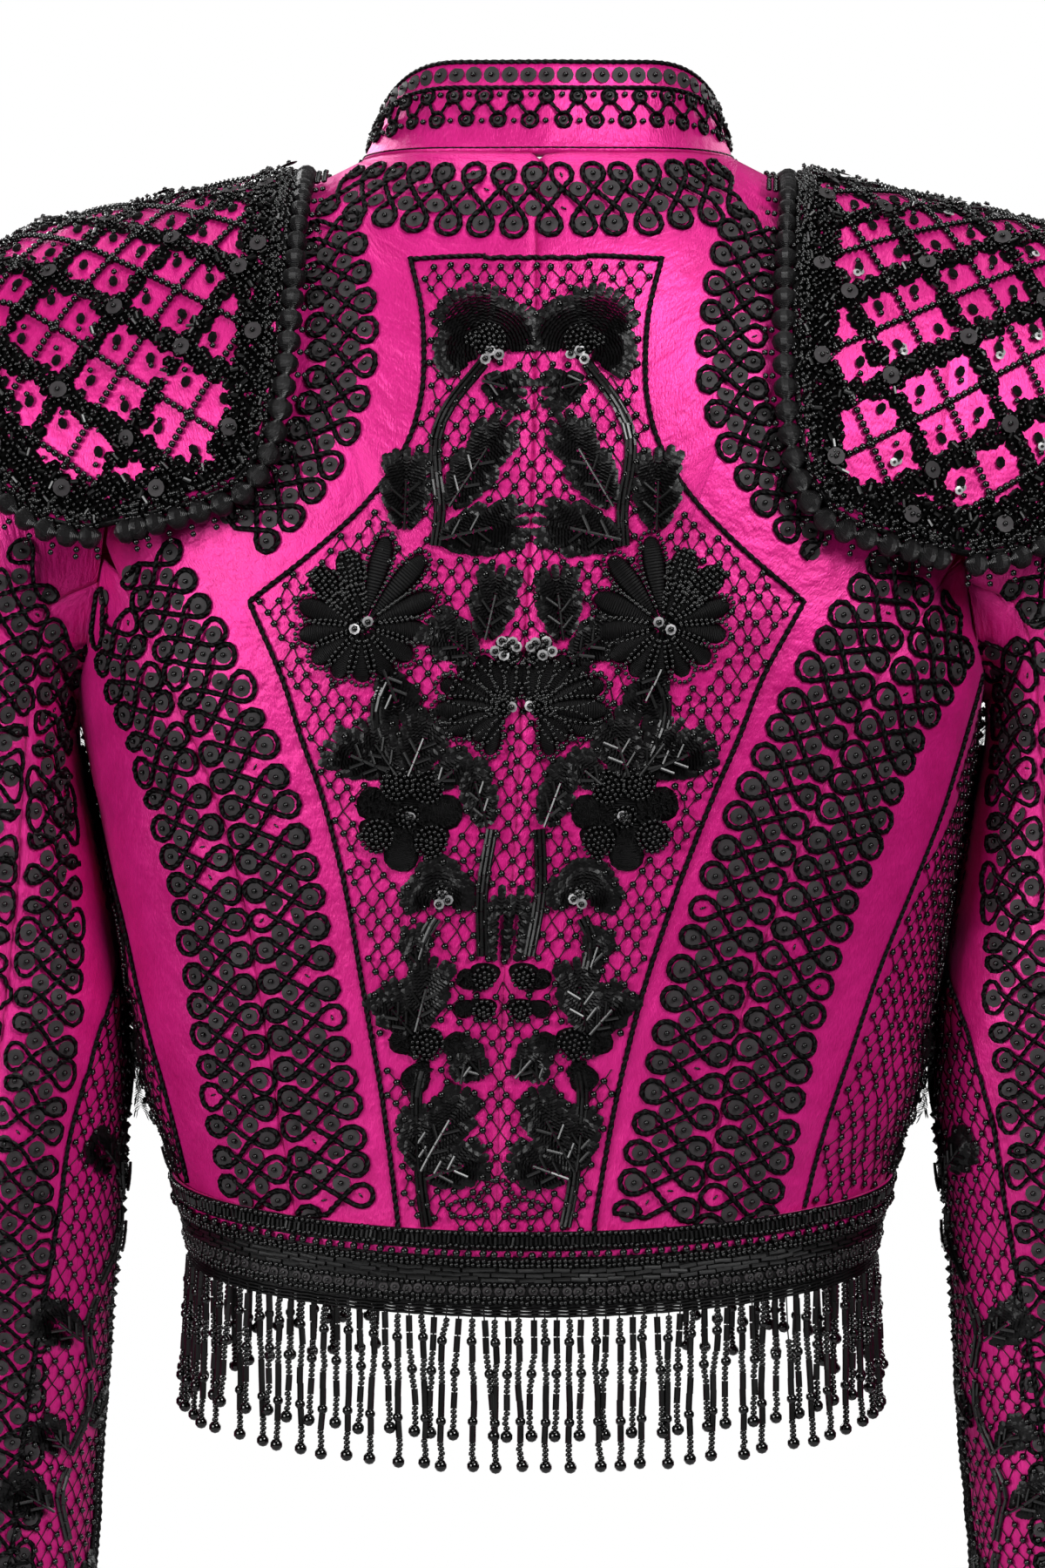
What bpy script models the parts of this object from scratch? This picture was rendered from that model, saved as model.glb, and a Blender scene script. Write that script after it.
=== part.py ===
"""Short matador jacket, open at the front: satin body panels, stand collar, two-piece sleeves,
domed shoulder pieces with a row of wrapped rolls round the edge, a beaded hem band and a
beaded fringe.

Millimetres inside the functions, metres in the mesh. The wearer looks along -Y, +X is the
wearer's left, +Z is up. The origin is on the middle line at the height of the nape.
"""

import math

import bpy
import numpy as np

# ---------------------------------------------------------------- driving sizes, millimetres
SEAM_ROWS = 14  # rows of points along each side seam
CLOTH = 2.0  # satin with its canvas backing and its stitched cover of beads
GAP = 0.25  # each panel stops this far short of a seam line
ARMHOLE_GAP = 1.2  # the sleeve starts this far outside the armhole
ARM_LEVEL = -200.0  # the rings end here and the shoulder arch begins
ARCH = 240.0  # length along the cloth from that level to the top of the shoulder
RIDGE_Y = -5.0  # the shoulder seam lies this far in front of the middle
SQUARE = 2.5  # how square the rings are: 2 is an ellipse
ARCH_SQUARE = 2.6  # how square the arch over the shoulder is at the back
CHEST_SQUARE = 1.35  # and at the front edge, where the chest slopes
COLLAR_HEIGHT = 35.0
COLLAR_SIDE = 24.0  # the collar is lower from the sides to the front
COLLAR_LEAN = 9.0
HEM_BAND = 28.0
HEM_BAND_THICK = 2.4
HEM_OFF = 1.0  # the hem band lies this far outside the cloth
STRAND = 2.2  # width of one beaded strand
STRAND_PITCH = 4.75
STRAND_LONG = 62.0
STRAND_SHORT = 50.0
STRIP = 3.0  # height of the tape that the strands hang from
ROLL_PITCH = 9.0
ROLL_RADIUS = 4.3
FLAP_THICK = 4.0

# Rings of the body: level, half width, depth at the back, depth at the front.
RINGS = np.array(
    [
        (-450, 133.5, 72, 92),
        (-417, 134.5, 72, 93),
        (-395, 141.0, 74, 97),
        (-367, 151.0, 78, 104),
        (-340, 156.5, 83, 112),
        (-300, 162.0, 90, 123),
        (-250, 170.5, 97, 134),
        (-200, 178.0, 101, 138),
    ],
    float,
)
# Height of the shoulder ridge: distance from the middle, level.
RIDGE = np.array([(0, 33), (40, 22), (74, 3.5), (100, -9), (150, -26), (167, -31), (200, -42)], float)
# The jacket hangs a little turned, so the seams of the back run off the middle: level, offset.
DRIFT = np.array(
    [
        (-450, 15), (-406, 14), (-366, 13), (-316, 11), (-293, 9), (-250, 6),
        (-200, 4), (-155, 1.5), (-100, 0.5), (-60, 1), (0, 3.5),
    ],
    float,
)
# The neck and the shoulders lean a little to the wearer's right: level, offset.
SWAY = np.array([(-160, 0), (-120, -0.5), (-60, -2), (-30, -3.5), (0, -6), (40, -8)], float)
# Curved back seam: level, distance from the middle.
PRINCESS = np.array(
    [
        (-450, 74), (-406, 79), (-366, 86.5), (-340, 91), (-315, 96.5), (-293, 102), (-270, 109),
        (-248, 117), (-229, 125), (-206, 135.5), (-190, 145), (-155, 165),
    ],
    float,
)
# Armhole: level, angle from the back at the back edge, angle from the front at the front edge.
ARMHOLE = np.array(
    [
        (-31, 71.2, 71.2), (-75, 66.2, 64.0), (-118, 65.7, 63.0), (-155, 68.8, 66.5),
        (-188, 77.2, 76.0), (-202, 85.2, 85.0), (-206, 90.0, 90.0),
    ],
    float,
)
# Front seam under the arm: level, angle from the front.
FRONT_SEAM = np.array([(-450, 62), (-300, 65), (-188, 76)], float)
# Neck edge at the back and at the front: distance from the middle, level.
NECK_BACK = np.array([(0, 2.2), (25, 2.5), (43, 3), (58, 3.5), (68, 3.6), (74, 3.5)], float)
NECK_FRONT = np.array([(74, 3.5), (71, -8), (64, -25), (54, -43), (38, -62)], float)
# Front edge: level, distance from the middle.
FRONT_EDGE = np.array([(-450, 62), (-250, 54), (-150, 46), (-62, 38)], float)
# Sleeve sections from the armhole to the cuff: outer point x z, inner point x z, half depth, middle y,
# angle of the back seam.
SLEEVE = np.array(
    [
        (171, -31, 180.5, -206, 58, -5, 121),
        (192, -38, 183, -208, 60, -5, 123),
        (214, -52, 184, -211, 61, -5, 124),
        (233, -76, 184, -216, 61, -5, 125),
        (247, -108, 184, -224, 60, -5, 125),
        (256, -150, 182, -238, 58.5, -5, 124),
        (262, -200, 178, -258, 57, -5, 119),
        (265, -255, 171.5, -290, 55, -6, 111),
        (266, -310, 164.5, -326, 53, -7, 102),
        (266, -352, 162.5, -360, 51, -9, 95),
        (266, -410, 167, -412, 48, -14, 89),
        (265, -470, 172, -470, 45, -20, 86),
        (263, -540, 177.5, -538, 42, -27, 83),
        (262, -603, 181, -599, 40, -33, 81),
    ],
    float,
)
SLEEVE_FRONT_SEAM = 250.0
# Shoulder piece: middle, half width, length down the back and front, squareness of the outline.
FLAP_X = 165.0
FLAP_HALF = 65.0
FLAP_LONG = 184.0
FLAP_SQUARE_IN, FLAP_SQUARE_OUT = 6.6, 4.5  # corners towards the neck and towards the arm
FLAP_DOME = 3.0
FLAP_SLIDE = {"left": 0.0, "right": 10.0}  # how far each has slipped towards the back
# How much shorter the shoulder piece is cut towards its sides: distance from the middle, length.
FLAP_DROP = np.array(
    [(94, 4), (124, 6), (146, 5), (172, 5), (191, 12), (205, 22), (215, 32), (225, 44), (235, 57)], float
)
# Height of the top of the shoulder piece: distance from the middle, level.
FLAP_RIDGE = np.array(
    [(90, 1), (100, -1), (124, -8), (160, -17), (190, -23), (207, -28), (225, -41), (233, -54), (242, -76)],
    float,
)
# Depth of the shoulder piece behind and before its ridge at the level of its tips.
FLAP_DEPTH = np.array(
    [
        (90, 107, 127), (100, 105, 125), (130, 98, 116), (160, 90, 103), (190, 82, 90),
        (215, 75, 80), (233, 66, 69), (242, 58, 60),
    ],
    float,
)
FLAP_FRONT_SQUARE = 2.1

# The bands of looped cord lie on both sides of the curved back seam, between these distances from it.
BANDS_FROM, BANDS_TO = 3.0, 34.0
# Padded flowers of the back panel: distance from the middle, level, radius, height.
FLOWERS = [
    (22, -66, 15, 2.0), (58, -183, 26, 3.0), (16, -207, 18, 2.5), (43, -254, 20, 2.5),
    (28, -290, 12, 1.5), (10, -317, 14, 2.0), (29, -344, 15, 2.0), (19, -384, 15, 1.5),
]


# ---------------------------------------------------------------- small helpers
def smooth(table, at, column=1):
    """A soft curve through a short table, by cubic pieces."""
    t, v = table[:, 0], table[:, column]
    if t[0] > t[-1]:
        t, v = t[::-1], v[::-1]
    slope = np.gradient(v, t)
    at = np.clip(np.asarray(at, float), t[0], t[-1])
    i = np.clip(np.searchsorted(t, at, side="right") - 1, 0, len(t) - 2)
    step = t[i + 1] - t[i]
    u = (at - t[i]) / step
    return (
        (2 * u**3 - 3 * u**2 + 1) * v[i]
        + (u**3 - 2 * u**2 + u) * step * slope[i]
        + (3 * u**2 - 2 * u**3) * v[i + 1]
        + (u**3 - u**2) * step * slope[i + 1]
    )


def power(value, exponent):
    return np.sign(value) * np.abs(value) ** exponent


def front_squareness(x):
    return np.interp(np.abs(x), [40, 140], [CHEST_SQUARE, ARCH_SQUARE])


def torso(angle, h):
    """A point on the outside of the body. The angle is 0 at the back and 90 at the wearer's left;
    h is the height below the armhole level, and the length over the shoulder above it."""
    angle, h = np.radians(angle), np.asarray(h, float)
    z = ARM_LEVEL + np.minimum(h, 0)
    s, c = power(np.sin(angle), 2 / SQUARE), power(np.cos(angle), 2 / SQUARE)
    x = smooth(RINGS, z, 1) * s
    depth = np.where(c >= 0, smooth(RINGS, z, 2), smooth(RINGS, z, 3))
    y = depth * c
    square = np.where(c >= 0, ARCH_SQUARE, front_squareness(x)) / 2
    a = np.clip(h / ARCH, 0, 1) ** square * math.pi / 2
    high = (smooth(RIDGE, np.abs(x)) - ARM_LEVEL) * np.sin(a) ** (1 / square)
    fall = np.abs(np.cos(a)) ** (1 / square)
    y = np.where(h > 0, RIDGE_Y + (y - RIDGE_Y) * fall, y)
    z = np.where(h > 0, ARM_LEVEL + high, z)
    return np.stack([x, y, z], -1)


def length_of(x, z, front):
    """The coordinate h of the point of the body at this distance and level."""
    square = np.where(front, front_squareness(x), ARCH_SQUARE) / 2
    top = smooth(RIDGE, np.abs(x)) - ARM_LEVEL
    part = np.clip((z - ARM_LEVEL) / top, 0, 1)
    a = (2 / math.pi * np.arcsin(part**square)) ** (1 / square)
    return np.where(z <= ARM_LEVEL, z - ARM_LEVEL, a * ARCH)


def angle_of(x, z, front):
    wide = smooth(RINGS, np.minimum(z, ARM_LEVEL), 1)
    a = np.degrees(np.arcsin(np.clip(np.abs(x) / wide, 0, 1) ** (SQUARE / 2)))
    return np.where(x < 0, -1, 1) * np.where(front, 180 - a, a)


def normal(angle, h):
    """The outward direction of the body's outside."""
    ha = np.minimum(h, ARCH - 3.0)
    across = torso(angle + 0.3, ha) - torso(angle - 0.3, ha)
    along = torso(angle, ha + 1.5) - torso(angle, ha - 1.5)
    n = np.cross(across, along)
    n /= np.linalg.norm(n, axis=-1, keepdims=True)
    middle = np.array([0.0, RIDGE_Y, 0.0])
    out = torso(angle, ha) - middle
    out[..., 2] = np.maximum(out[..., 2], 0) * 0.2
    flip = np.sum(n * out, -1, keepdims=True) < 0
    return np.where(flip, -n, n)


def hem_level(angle):
    return -444 + 35 * np.abs(np.sin(np.radians(angle) / 2)) ** 1.6


def patch(bottom, top, left, right):
    """A grid between four edges, each a list of (angle, h); bottom and top have the columns."""
    bottom, top, left, right = (np.asarray(e, float) for e in (bottom, top, left, right))
    s = np.linspace(0, 1, len(bottom))[None, :, None]
    v = np.linspace(0, 1, len(left))[:, None, None]
    return (
        (1 - v) * bottom[None]
        + v * top[None]
        + (1 - s) * left[:, None]
        + s * right[:, None]
        - (1 - s) * (1 - v) * bottom[0]
        - s * (1 - v) * bottom[-1]
        - (1 - s) * v * top[0]
        - s * v * top[-1]
    )


def along(points, count):
    """Spreads points evenly over a polyline."""
    points = np.asarray(points, float)
    real = torso(points[:, 0], points[:, 1])
    d = np.concatenate([[0], np.cumsum(np.linalg.norm(np.diff(real, axis=0), axis=1))])
    at = np.linspace(0, d[-1], count)
    return np.stack([np.interp(at, d, points[:, i]) for i in (0, 1)], -1)


def tighten(grid):
    """Pulls the edges of a panel in from its seams."""
    p = torso(grid[..., 0], grid[..., 1])
    g = grid.copy()
    for axis in (0, 1):
        a, b = np.moveaxis(grid, axis, 0), np.moveaxis(p, axis, 0)
        out = np.moveaxis(g, axis, 0)
        for edge, near in ((0, 1), (-1, -2)):
            d = np.linalg.norm(b[near] - b[edge], axis=-1, keepdims=True)
            out[edge] += (a[near] - a[edge]) * np.minimum(GAP / np.maximum(d, 0.5), 0.4)
    return g


# ---------------------------------------------------------------- solids
def material(name, colour, roughness, metallic=0.0):
    m = bpy.data.materials.new(name)
    m.use_nodes = True
    s = m.node_tree.nodes["Principled BSDF"]
    s.inputs["Base Color"].default_value = (*colour, 1)
    s.inputs["Roughness"].default_value = roughness
    s.inputs["Metallic"].default_value = metallic
    m.diffuse_color = (*colour, 1)
    return m


def solid(name, points, faces, mat):
    points = np.array(points, float)
    points[:, 0] += smooth(SWAY, points[:, 2])
    points /= 1000
    volume = 0.0
    for f in faces:
        for i in range(1, len(f) - 1):
            a, b, c = points[f[0]], points[f[i]], points[f[i + 1]]
            volume += float(np.dot(a, np.cross(b, c)))
    if volume < 0:
        faces = [tuple(reversed(f)) for f in faces]
    mesh = bpy.data.meshes.new(name)
    mesh.from_pydata([tuple(p) for p in points], [], faces)
    mesh.validate()
    mesh.materials.append(mat)
    o = bpy.data.objects.new(name, mesh)
    bpy.context.collection.objects.link(o)
    return o


def sheet(name, outer, inner, mat):
    """A closed wall between two grids of points."""
    rows, cols = outer.shape[:2]
    n = rows * cols
    points = np.concatenate([outer.reshape(-1, 3), inner.reshape(-1, 3)])
    at = np.arange(n).reshape(rows, cols)
    faces = []
    for r in range(rows - 1):
        for c in range(cols - 1):
            q = (at[r, c], at[r, c + 1], at[r + 1, c + 1], at[r + 1, c])
            faces.append(q)
            faces.append(tuple(n + i for i in reversed(q)))
    rim = (
        list(at[0, :-1])
        + list(at[:-1, -1])
        + list(at[-1, :0:-1])
        + list(at[:0:-1, 0])
    )
    for i, a in enumerate(rim):
        b = rim[(i + 1) % len(rim)]
        faces.append((b, a, n + a, n + b))
    return solid(name, points, [tuple(int(i) for i in f) for f in faces], mat)


def relief(p, angle):
    """How far the looped bands and the padded flowers stand off the back."""
    x, y, z = p[..., 0], p[..., 1], p[..., 2]
    clear = np.clip((z - hem_level(angle) - HEM_BAND - 3) / 6, 0, 1)
    x = x - smooth(DRIFT, z)
    slope = (smooth(PRINCESS, z + 3) - smooth(PRINCESS, z - 3)) / 6
    off = np.abs(np.abs(x) - smooth(PRINCESS, z)) / np.hypot(1, slope)
    level = np.clip((-176 - z) / 10, 0, 1)
    up = 1.2 * level * np.clip((off - BANDS_FROM) / 3, 0, 1) * np.clip((BANDS_TO - off) / 5, 0, 1)
    for fx, fz, r, high in FLOWERS:
        d = np.hypot(np.abs(x) - fx, z - fz) / r
        up = np.maximum(up, high * np.clip(1.15 - d * d, 0, 1))
    return np.where(y > 0, up * clear, 0)


def body_panel(name, grid, mat):
    grid = tighten(grid)
    p = torso(grid[..., 0], grid[..., 1])
    n = normal(grid[..., 0], grid[..., 1])
    inside = np.zeros(p.shape[:2])
    inside[1:-1, 1:-1] = 1
    outer = p + n * (relief(p, grid[..., 0]) * inside)[..., None]
    return sheet(name, outer, p - n * CLOTH, mat)


# ---------------------------------------------------------------- edges of the panels
def edge_points(xs, zs, front):
    return np.stack([angle_of(xs, zs, front), length_of(xs, zs, front)], -1)


def armhole_edge(side, front, z_from, z_to, count=40):
    """The armhole between two levels, as (angle, h)."""
    low = ARMHOLE[-1, 0]
    top = ARMHOLE[0, 0]
    t0, t1 = (np.arccos(np.clip((z - (low + top) / 2) / ((top - low) / 2), -1, 1)) for z in (z_from, z_to))
    z = (low + top) / 2 + (top - low) / 2 * np.cos(np.linspace(t0, t1, count))
    a = smooth(ARMHOLE, z, 2 if front else 1)
    a = np.where(front, 180 - a, a)
    x = torso(a, np.zeros_like(a))[:, 0]
    return np.stack([side * a, length_of(x, np.minimum(z, smooth(RIDGE, x)), front)], -1)


def hem_edge(a0, a1, count):
    a = np.linspace(a0, a1, count)
    return np.stack([a, hem_level(a) - ARM_LEVEL], -1)


def hem_crossing(curve):
    """Cuts a seam's list of (angle, h) off at the hem."""
    low = hem_level(curve[:, 0]) - ARM_LEVEL
    keep = curve[:, 1] > low + 0.5
    first = int(np.argmax(keep))
    a = curve[first, 0]
    return np.concatenate([[(a, hem_level(a) - ARM_LEVEL)], curve[first:]])


def middle_back():
    z = np.linspace(-450, 0, 91)
    return hem_crossing(edge_points(smooth(DRIFT, z), z, False))


def princess(side):
    z = np.linspace(-450, -155, 60)
    drift = smooth(DRIFT, z) * np.clip((-155 - z) / 40, 0, 1)
    return hem_crossing(edge_points(side * smooth(PRINCESS, z) + drift, z, False))


def front_seam(side):
    z = np.linspace(-450, -188, 60)
    return hem_crossing(np.stack([side * (180 - smooth(FRONT_SEAM, z)), z - ARM_LEVEL], -1))


def neck(side, front):
    t = NECK_FRONT if front else NECK_BACK
    d = np.linspace(0, len(t) - 1, 25)
    steps = np.column_stack([np.arange(len(t)), t])
    x, z = smooth(steps, d, 1), smooth(steps, d, 2)
    z = np.minimum(z, smooth(RIDGE, x))
    e = edge_points(side * x, z, front)
    e[0 if front else -1, 1] = ARCH
    return e


def shoulder(side, front, outward):
    x = np.linspace(74, torso(ARMHOLE[0, 1], 0.0)[0], 12)
    e = edge_points(side * x, smooth(RIDGE, x), front)
    e[:, 1] = ARCH
    return e if outward else e[::-1]


# ---------------------------------------------------------------- body
def join(*parts):
    out = [parts[0]]
    for p in parts[1:]:
        out.append(p[1:])
    return np.concatenate(out)


def build_body(mats):
    satin = mats["satin"]
    for side, word in ((1, "left"), (-1, "right")):
        rows, cols = 20, 12
        split = 5
        top = join(along(neck(side, False), split), along(shoulder(side, False, True), cols - split + 1))
        left = along(middle_back(), rows)
        right = join(along(princess(side), SEAM_ROWS), along(armhole_edge(side, False, -155, -31), rows - SEAM_ROWS + 1))
        top[0], top[-1] = left[-1], right[-1]
        bottom = hem_edge(left[0, 0], right[0, 0], cols)
        body_panel(f"back_{word}", patch(bottom, top, left, right), satin)

        left = along(princess(side), SEAM_ROWS)
        right = along(front_seam(side), SEAM_ROWS)
        top = along(
            join(
                armhole_edge(side, False, -155, -206, 24),
                armhole_edge(side, True, -206, -188, 12),
            ),
            9,
        )
        left[-1], right[-1] = top[0], top[-1]
        bottom = hem_edge(left[0, 0], right[0, 0], 9)
        body_panel(f"side_back_{word}", patch(bottom, top, left, right), satin)

        z = np.linspace(-450, -62, 80)
        edge = hem_crossing(edge_points(side * smooth(FRONT_EDGE, z), z, True))
        rows, cols = 19, 10
        top = join(along(shoulder(side, True, False), 6), along(neck(side, True), 5))
        left = join(along(front_seam(side), SEAM_ROWS), along(armhole_edge(side, True, -188, -31), rows - SEAM_ROWS + 1))
        right = along(edge, rows)
        left[-1], right[-1] = top[0], top[-1]
        bottom = hem_edge(left[0, 0], right[0, 0], cols)
        body_panel(f"front_{word}", patch(bottom, top, left, right), satin)


def collar_line():
    """The neck edge all round from the wearer's right front to the left, as (angle, h)."""
    half = join(neck(1, False), neck(1, True))
    other = half[::-1].copy()
    other[:, 0] *= -1
    return join(other, half)


def build_collar(mats):
    line = collar_line()
    real = torso(line[:, 0], line[:, 1])
    d = np.concatenate([[0], np.cumsum(np.linalg.norm(np.diff(real, axis=0), axis=1))])
    at = np.linspace(0, d[-1], 37)
    base = np.stack([np.interp(at, d, real[:, i]) for i in range(3)], -1)
    t = np.gradient(base, axis=0)
    flat = np.stack([t[:, 1], -t[:, 0], np.zeros(len(t))], -1)
    out = flat / np.linalg.norm(flat, axis=1, keepdims=True)
    out *= np.sign(np.sum(out * (base - [0, RIDGE_Y, 0]), 1, keepdims=True))
    front = np.clip((-base[:, 2]) / 62, 0, 1)[:, None]
    aside = np.clip((52 - base[:, 1]) / 48, 0, 1)[:, None]
    high = COLLAR_HEIGHT + (COLLAR_SIDE - COLLAR_HEIGHT) * aside * aside * (3 - 2 * aside)
    up = np.array([0, 0, 1.0]) * high + np.array([0, 0.3, 0]) * high * front
    lean = -out * COLLAR_LEAN
    outer, inner = [], []
    for v in np.linspace(0, 1, 4):
        p = base + up * (v + 0.028) + lean * (v**0.8)
        outer.append(p)
        inner.append(p - out * CLOTH - np.array([0, 0, 0.25]) * 0)
    return sheet("collar", np.array(outer), np.array(inner), mats["satin"])


# ---------------------------------------------------------------- sleeves
def armhole_loop(turn):
    """The point of the armhole for a turn of the sleeve: 0 at the top, 90 at the back."""
    turn = np.asarray(turn, float)
    low, top = ARMHOLE[-1, 0], ARMHOLE[0, 0]
    z = (low + top) / 2 + (top - low) / 2 * np.cos(np.radians(turn))
    front = np.sin(np.radians(turn)) < 0
    a = np.where(front, 180 - smooth(ARMHOLE, z, 2), smooth(ARMHOLE, z, 1))
    x = torso(a, np.zeros_like(a))[..., 0]
    h = length_of(x, np.minimum(z, smooth(RIDGE, x)), front)
    return torso(a, h)


def sleeve_point(row, turn):
    """A point on the outside of the left sleeve."""
    row, turn = np.broadcast_arrays(np.asarray(row, float), np.asarray(turn, float))
    steps = np.column_stack([np.arange(len(SLEEVE)), SLEEVE])
    tx, tz, bx, bz, deep, my = (smooth(steps, row, i) for i in range(1, 7))
    c, s = np.cos(np.radians(turn)), np.sin(np.radians(turn))
    p = np.stack(
        [(tx + bx) / 2 + (tx - bx) / 2 * c, my + deep * power(s, 0.92), (tz + bz) / 2 + (tz - bz) / 2 * c], -1
    )
    w = np.clip(row / 1.6, 0, 1)
    w = (w * w * (3 - 2 * w))[..., None]
    start = armhole_loop(turn) + np.array([ARMHOLE_GAP, 0, 0])
    return start * (1 - w) + p * w


def sleeve_normal(row, turn):
    rows = len(SLEEVE) - 1
    r0, r1 = np.clip(row - 0.05, 0, rows), np.clip(row + 0.05, 0, rows)
    n = np.cross(
        sleeve_point(row, turn + 1) - sleeve_point(row, turn - 1), sleeve_point(r1, turn) - sleeve_point(r0, turn)
    )
    return n / np.linalg.norm(n, axis=-1, keepdims=True)


def build_sleeves(mats):
    last = len(SLEEVE) - 1
    rows = np.concatenate([np.linspace(0, 6, 12), np.linspace(7, last, 7)])[:, None]
    steps = np.column_stack([np.arange(len(SLEEVE)), SLEEVE])
    back = smooth(steps, rows[:, 0], 7)[:, None]
    short = np.degrees(GAP / 50)
    for side, word in ((1, "left"), (-1, "right")):
        mirror = np.array([side, 1, 1])
        spans = (
            ("upper", SLEEVE_FRONT_SEAM - 360 + short, back - short, 13),
            ("under", back + short, SLEEVE_FRONT_SEAM - short, 9),
        )
        for part, a, b, cols in spans:
            u = np.linspace(0, 1, cols)[None, :]
            turn = a + (b - a) * u
            row = np.broadcast_to(rows, turn.shape)
            p = sleeve_point(row, turn)
            n = sleeve_normal(row, turn)
            sheet(f"sleeve_{part}_{word}", p * mirror, (p - n * CLOTH) * mirror, mats["satin"])


# ---------------------------------------------------------------- shoulder pieces
def flap_point(x, c, lift=0.0):
    """A point of the shoulder piece: x from the middle, c along the cloth from the ridge, plus behind."""
    x, c = np.broadcast_arrays(np.asarray(x, float), np.asarray(c, float))
    low = -175.0
    top = smooth(FLAP_RIDGE, x) + lift - low
    deep = np.where(c >= 0, smooth(FLAP_DEPTH, x, 1), smooth(FLAP_DEPTH, x, 2)) + lift
    square = np.where(c >= 0, ARCH_SQUARE, FLAP_FRONT_SQUARE) / 2
    long = (top + deep) * 0.86
    a = np.clip(1 - np.abs(c) / long, -0.2, 1)
    t = np.clip(a, 0, 1) ** square * math.pi / 2
    z = low + top * np.sin(t) ** (1 / square) + np.minimum(a, 0) * long
    y = RIDGE_Y + np.sign(c) * deep * np.abs(np.cos(t)) ** (1 / square)
    return np.stack([x, y, z], -1)


def flap_outline(turn, grow=0.0):
    t = np.radians(turn)
    c, s = np.cos(t), np.sin(t)
    e = 2 / np.where(c > 0, FLAP_SQUARE_OUT, FLAP_SQUARE_IN)
    x = FLAP_X + (FLAP_HALF + grow) * power(c, e)
    long = FLAP_LONG + grow - (smooth(FLAP_RIDGE, FLAP_X) - smooth(FLAP_RIDGE, x)) - smooth(FLAP_DROP, x)
    return x, long * power(s, e)


def flap_normal(x, c, lift=0.0):
    n = np.cross(
        flap_point(x + 1.0, c, lift) - flap_point(x - 1.0, c, lift),
        flap_point(x, c + 2.0, lift) - flap_point(x, c - 2.0, lift),
    )
    return n / np.linalg.norm(n, axis=-1, keepdims=True)


def even_turns(count, grow=0.0):
    """Turns that space points evenly along the outline."""
    t = np.linspace(0, 360, 1441)
    x, c = flap_outline(t, grow)
    p = flap_point(x, c)
    d = np.concatenate([[0], np.cumsum(np.linalg.norm(np.diff(p, axis=0), axis=1))])
    return np.interp(np.linspace(0, d[-1], count + 1)[:-1], d, t), d[-1]


def build_flaps(mats):
    spokes, rings = 44, 5
    turns, around = even_turns(spokes)
    rolls = int(round(even_turns(10, ROLL_RADIUS)[1] / ROLL_PITCH))
    for side, word in ((1, "left"), (-1, "right")):
        mirror = np.array([side, 1, 1])
        slide = FLAP_SLIDE[word]
        ex, ec = flap_outline(turns)
        points, faces = [], []
        for skin, depth in ((0, 0.0), (1, -FLAP_THICK)):
            for k in range(rings, 0, -1):
                f = (k / rings) ** 0.9
                x, c = FLAP_X + (ex - FLAP_X) * f, ec * f + slide
                dome = FLAP_DOME * (1 - f**2) * (1 - skin)
                p = flap_point(x, c) + flap_normal(x, c) * (depth + dome)
                points.extend(p)
            p = flap_point(FLAP_X, slide) + flap_normal(FLAP_X, slide) * (depth + FLAP_DOME * (1 - skin))
            points.append(p)
        skin_size = rings * spokes + 1
        for skin in (0, 1):
            base = skin * skin_size
            for k in range(rings - 1):
                for i in range(spokes):
                    j = (i + 1) % spokes
                    q = (base + k * spokes + i, base + k * spokes + j,
                         base + (k + 1) * spokes + j, base + (k + 1) * spokes + i)
                    faces.append(q if skin == 0 else tuple(reversed(q)))
            for i in range(spokes):
                j = (i + 1) % spokes
                q = (base + (rings - 1) * spokes + i, base + (rings - 1) * spokes + j, base + rings * spokes)
                faces.append(q if skin == 0 else tuple(reversed(q)))
        for i in range(spokes):
            j = (i + 1) % spokes
            faces.append((j, i, skin_size + i, skin_size + j))
        solid(f"hombrera_{word}", np.array(points) * mirror, faces, mats["lattice"])

        per, sides = 2, 5
        steps = rolls * per
        t, _ = even_turns(steps, ROLL_RADIUS)
        x, c = flap_outline(t, ROLL_RADIUS + 0.6)
        c = c + slide
        n = flap_normal(x, c)
        centre = flap_point(x, c) - n * FLAP_THICK / 2
        tangent = np.roll(centre, -1, 0) - np.roll(centre, 1, 0)
        tangent /= np.linalg.norm(tangent, axis=1, keepdims=True)
        across = np.cross(tangent, n)
        across /= np.linalg.norm(across, axis=1, keepdims=True)
        n = np.cross(across, tangent)
        radius = np.where(np.arange(steps) % per == 0, ROLL_RADIUS, ROLL_RADIUS * 0.72)
        points, faces = [], []
        for i in range(steps):
            for k in range(sides):
                a = 2 * math.pi * (k + 0.5) / sides
                points.append(centre[i] + radius[i] * (math.cos(a) * across[i] + math.sin(a) * n[i]))
        for i in range(steps):
            j = (i + 1) % steps
            for k in range(sides):
                m = (k + 1) % sides
                faces.append((i * sides + k, i * sides + m, j * sides + m, j * sides + k))
        solid(f"hombrera_rolls_{word}", np.array(points) * mirror, faces, mats["silk"])


# ---------------------------------------------------------------- hem band and fringe
def hem_ends():
    x = 62.0
    a = float(angle_of(np.array(x), np.array(-392.0), True))
    return -a, a


def hem_curve(count, drop, off):
    """Points round the hem, so far below its edge and so far out from the cloth."""
    a0, a1 = hem_ends()
    a = np.linspace(a0, a1, 2401)
    h = hem_level(a) - ARM_LEVEL
    p = torso(a, h)
    d = np.concatenate([[0], np.cumsum(np.linalg.norm(np.diff(p, axis=0), axis=1))])
    at = np.interp(np.linspace(0.15, d[-1] - 0.15, count), d, a)
    level = hem_level(at) - ARM_LEVEL
    n = normal(at, level)
    n[:, 2] = 0
    n /= np.linalg.norm(n, axis=1, keepdims=True)
    p = torso(at, level) + n * off
    p[:, 2] -= drop
    return p, d[-1]


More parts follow.
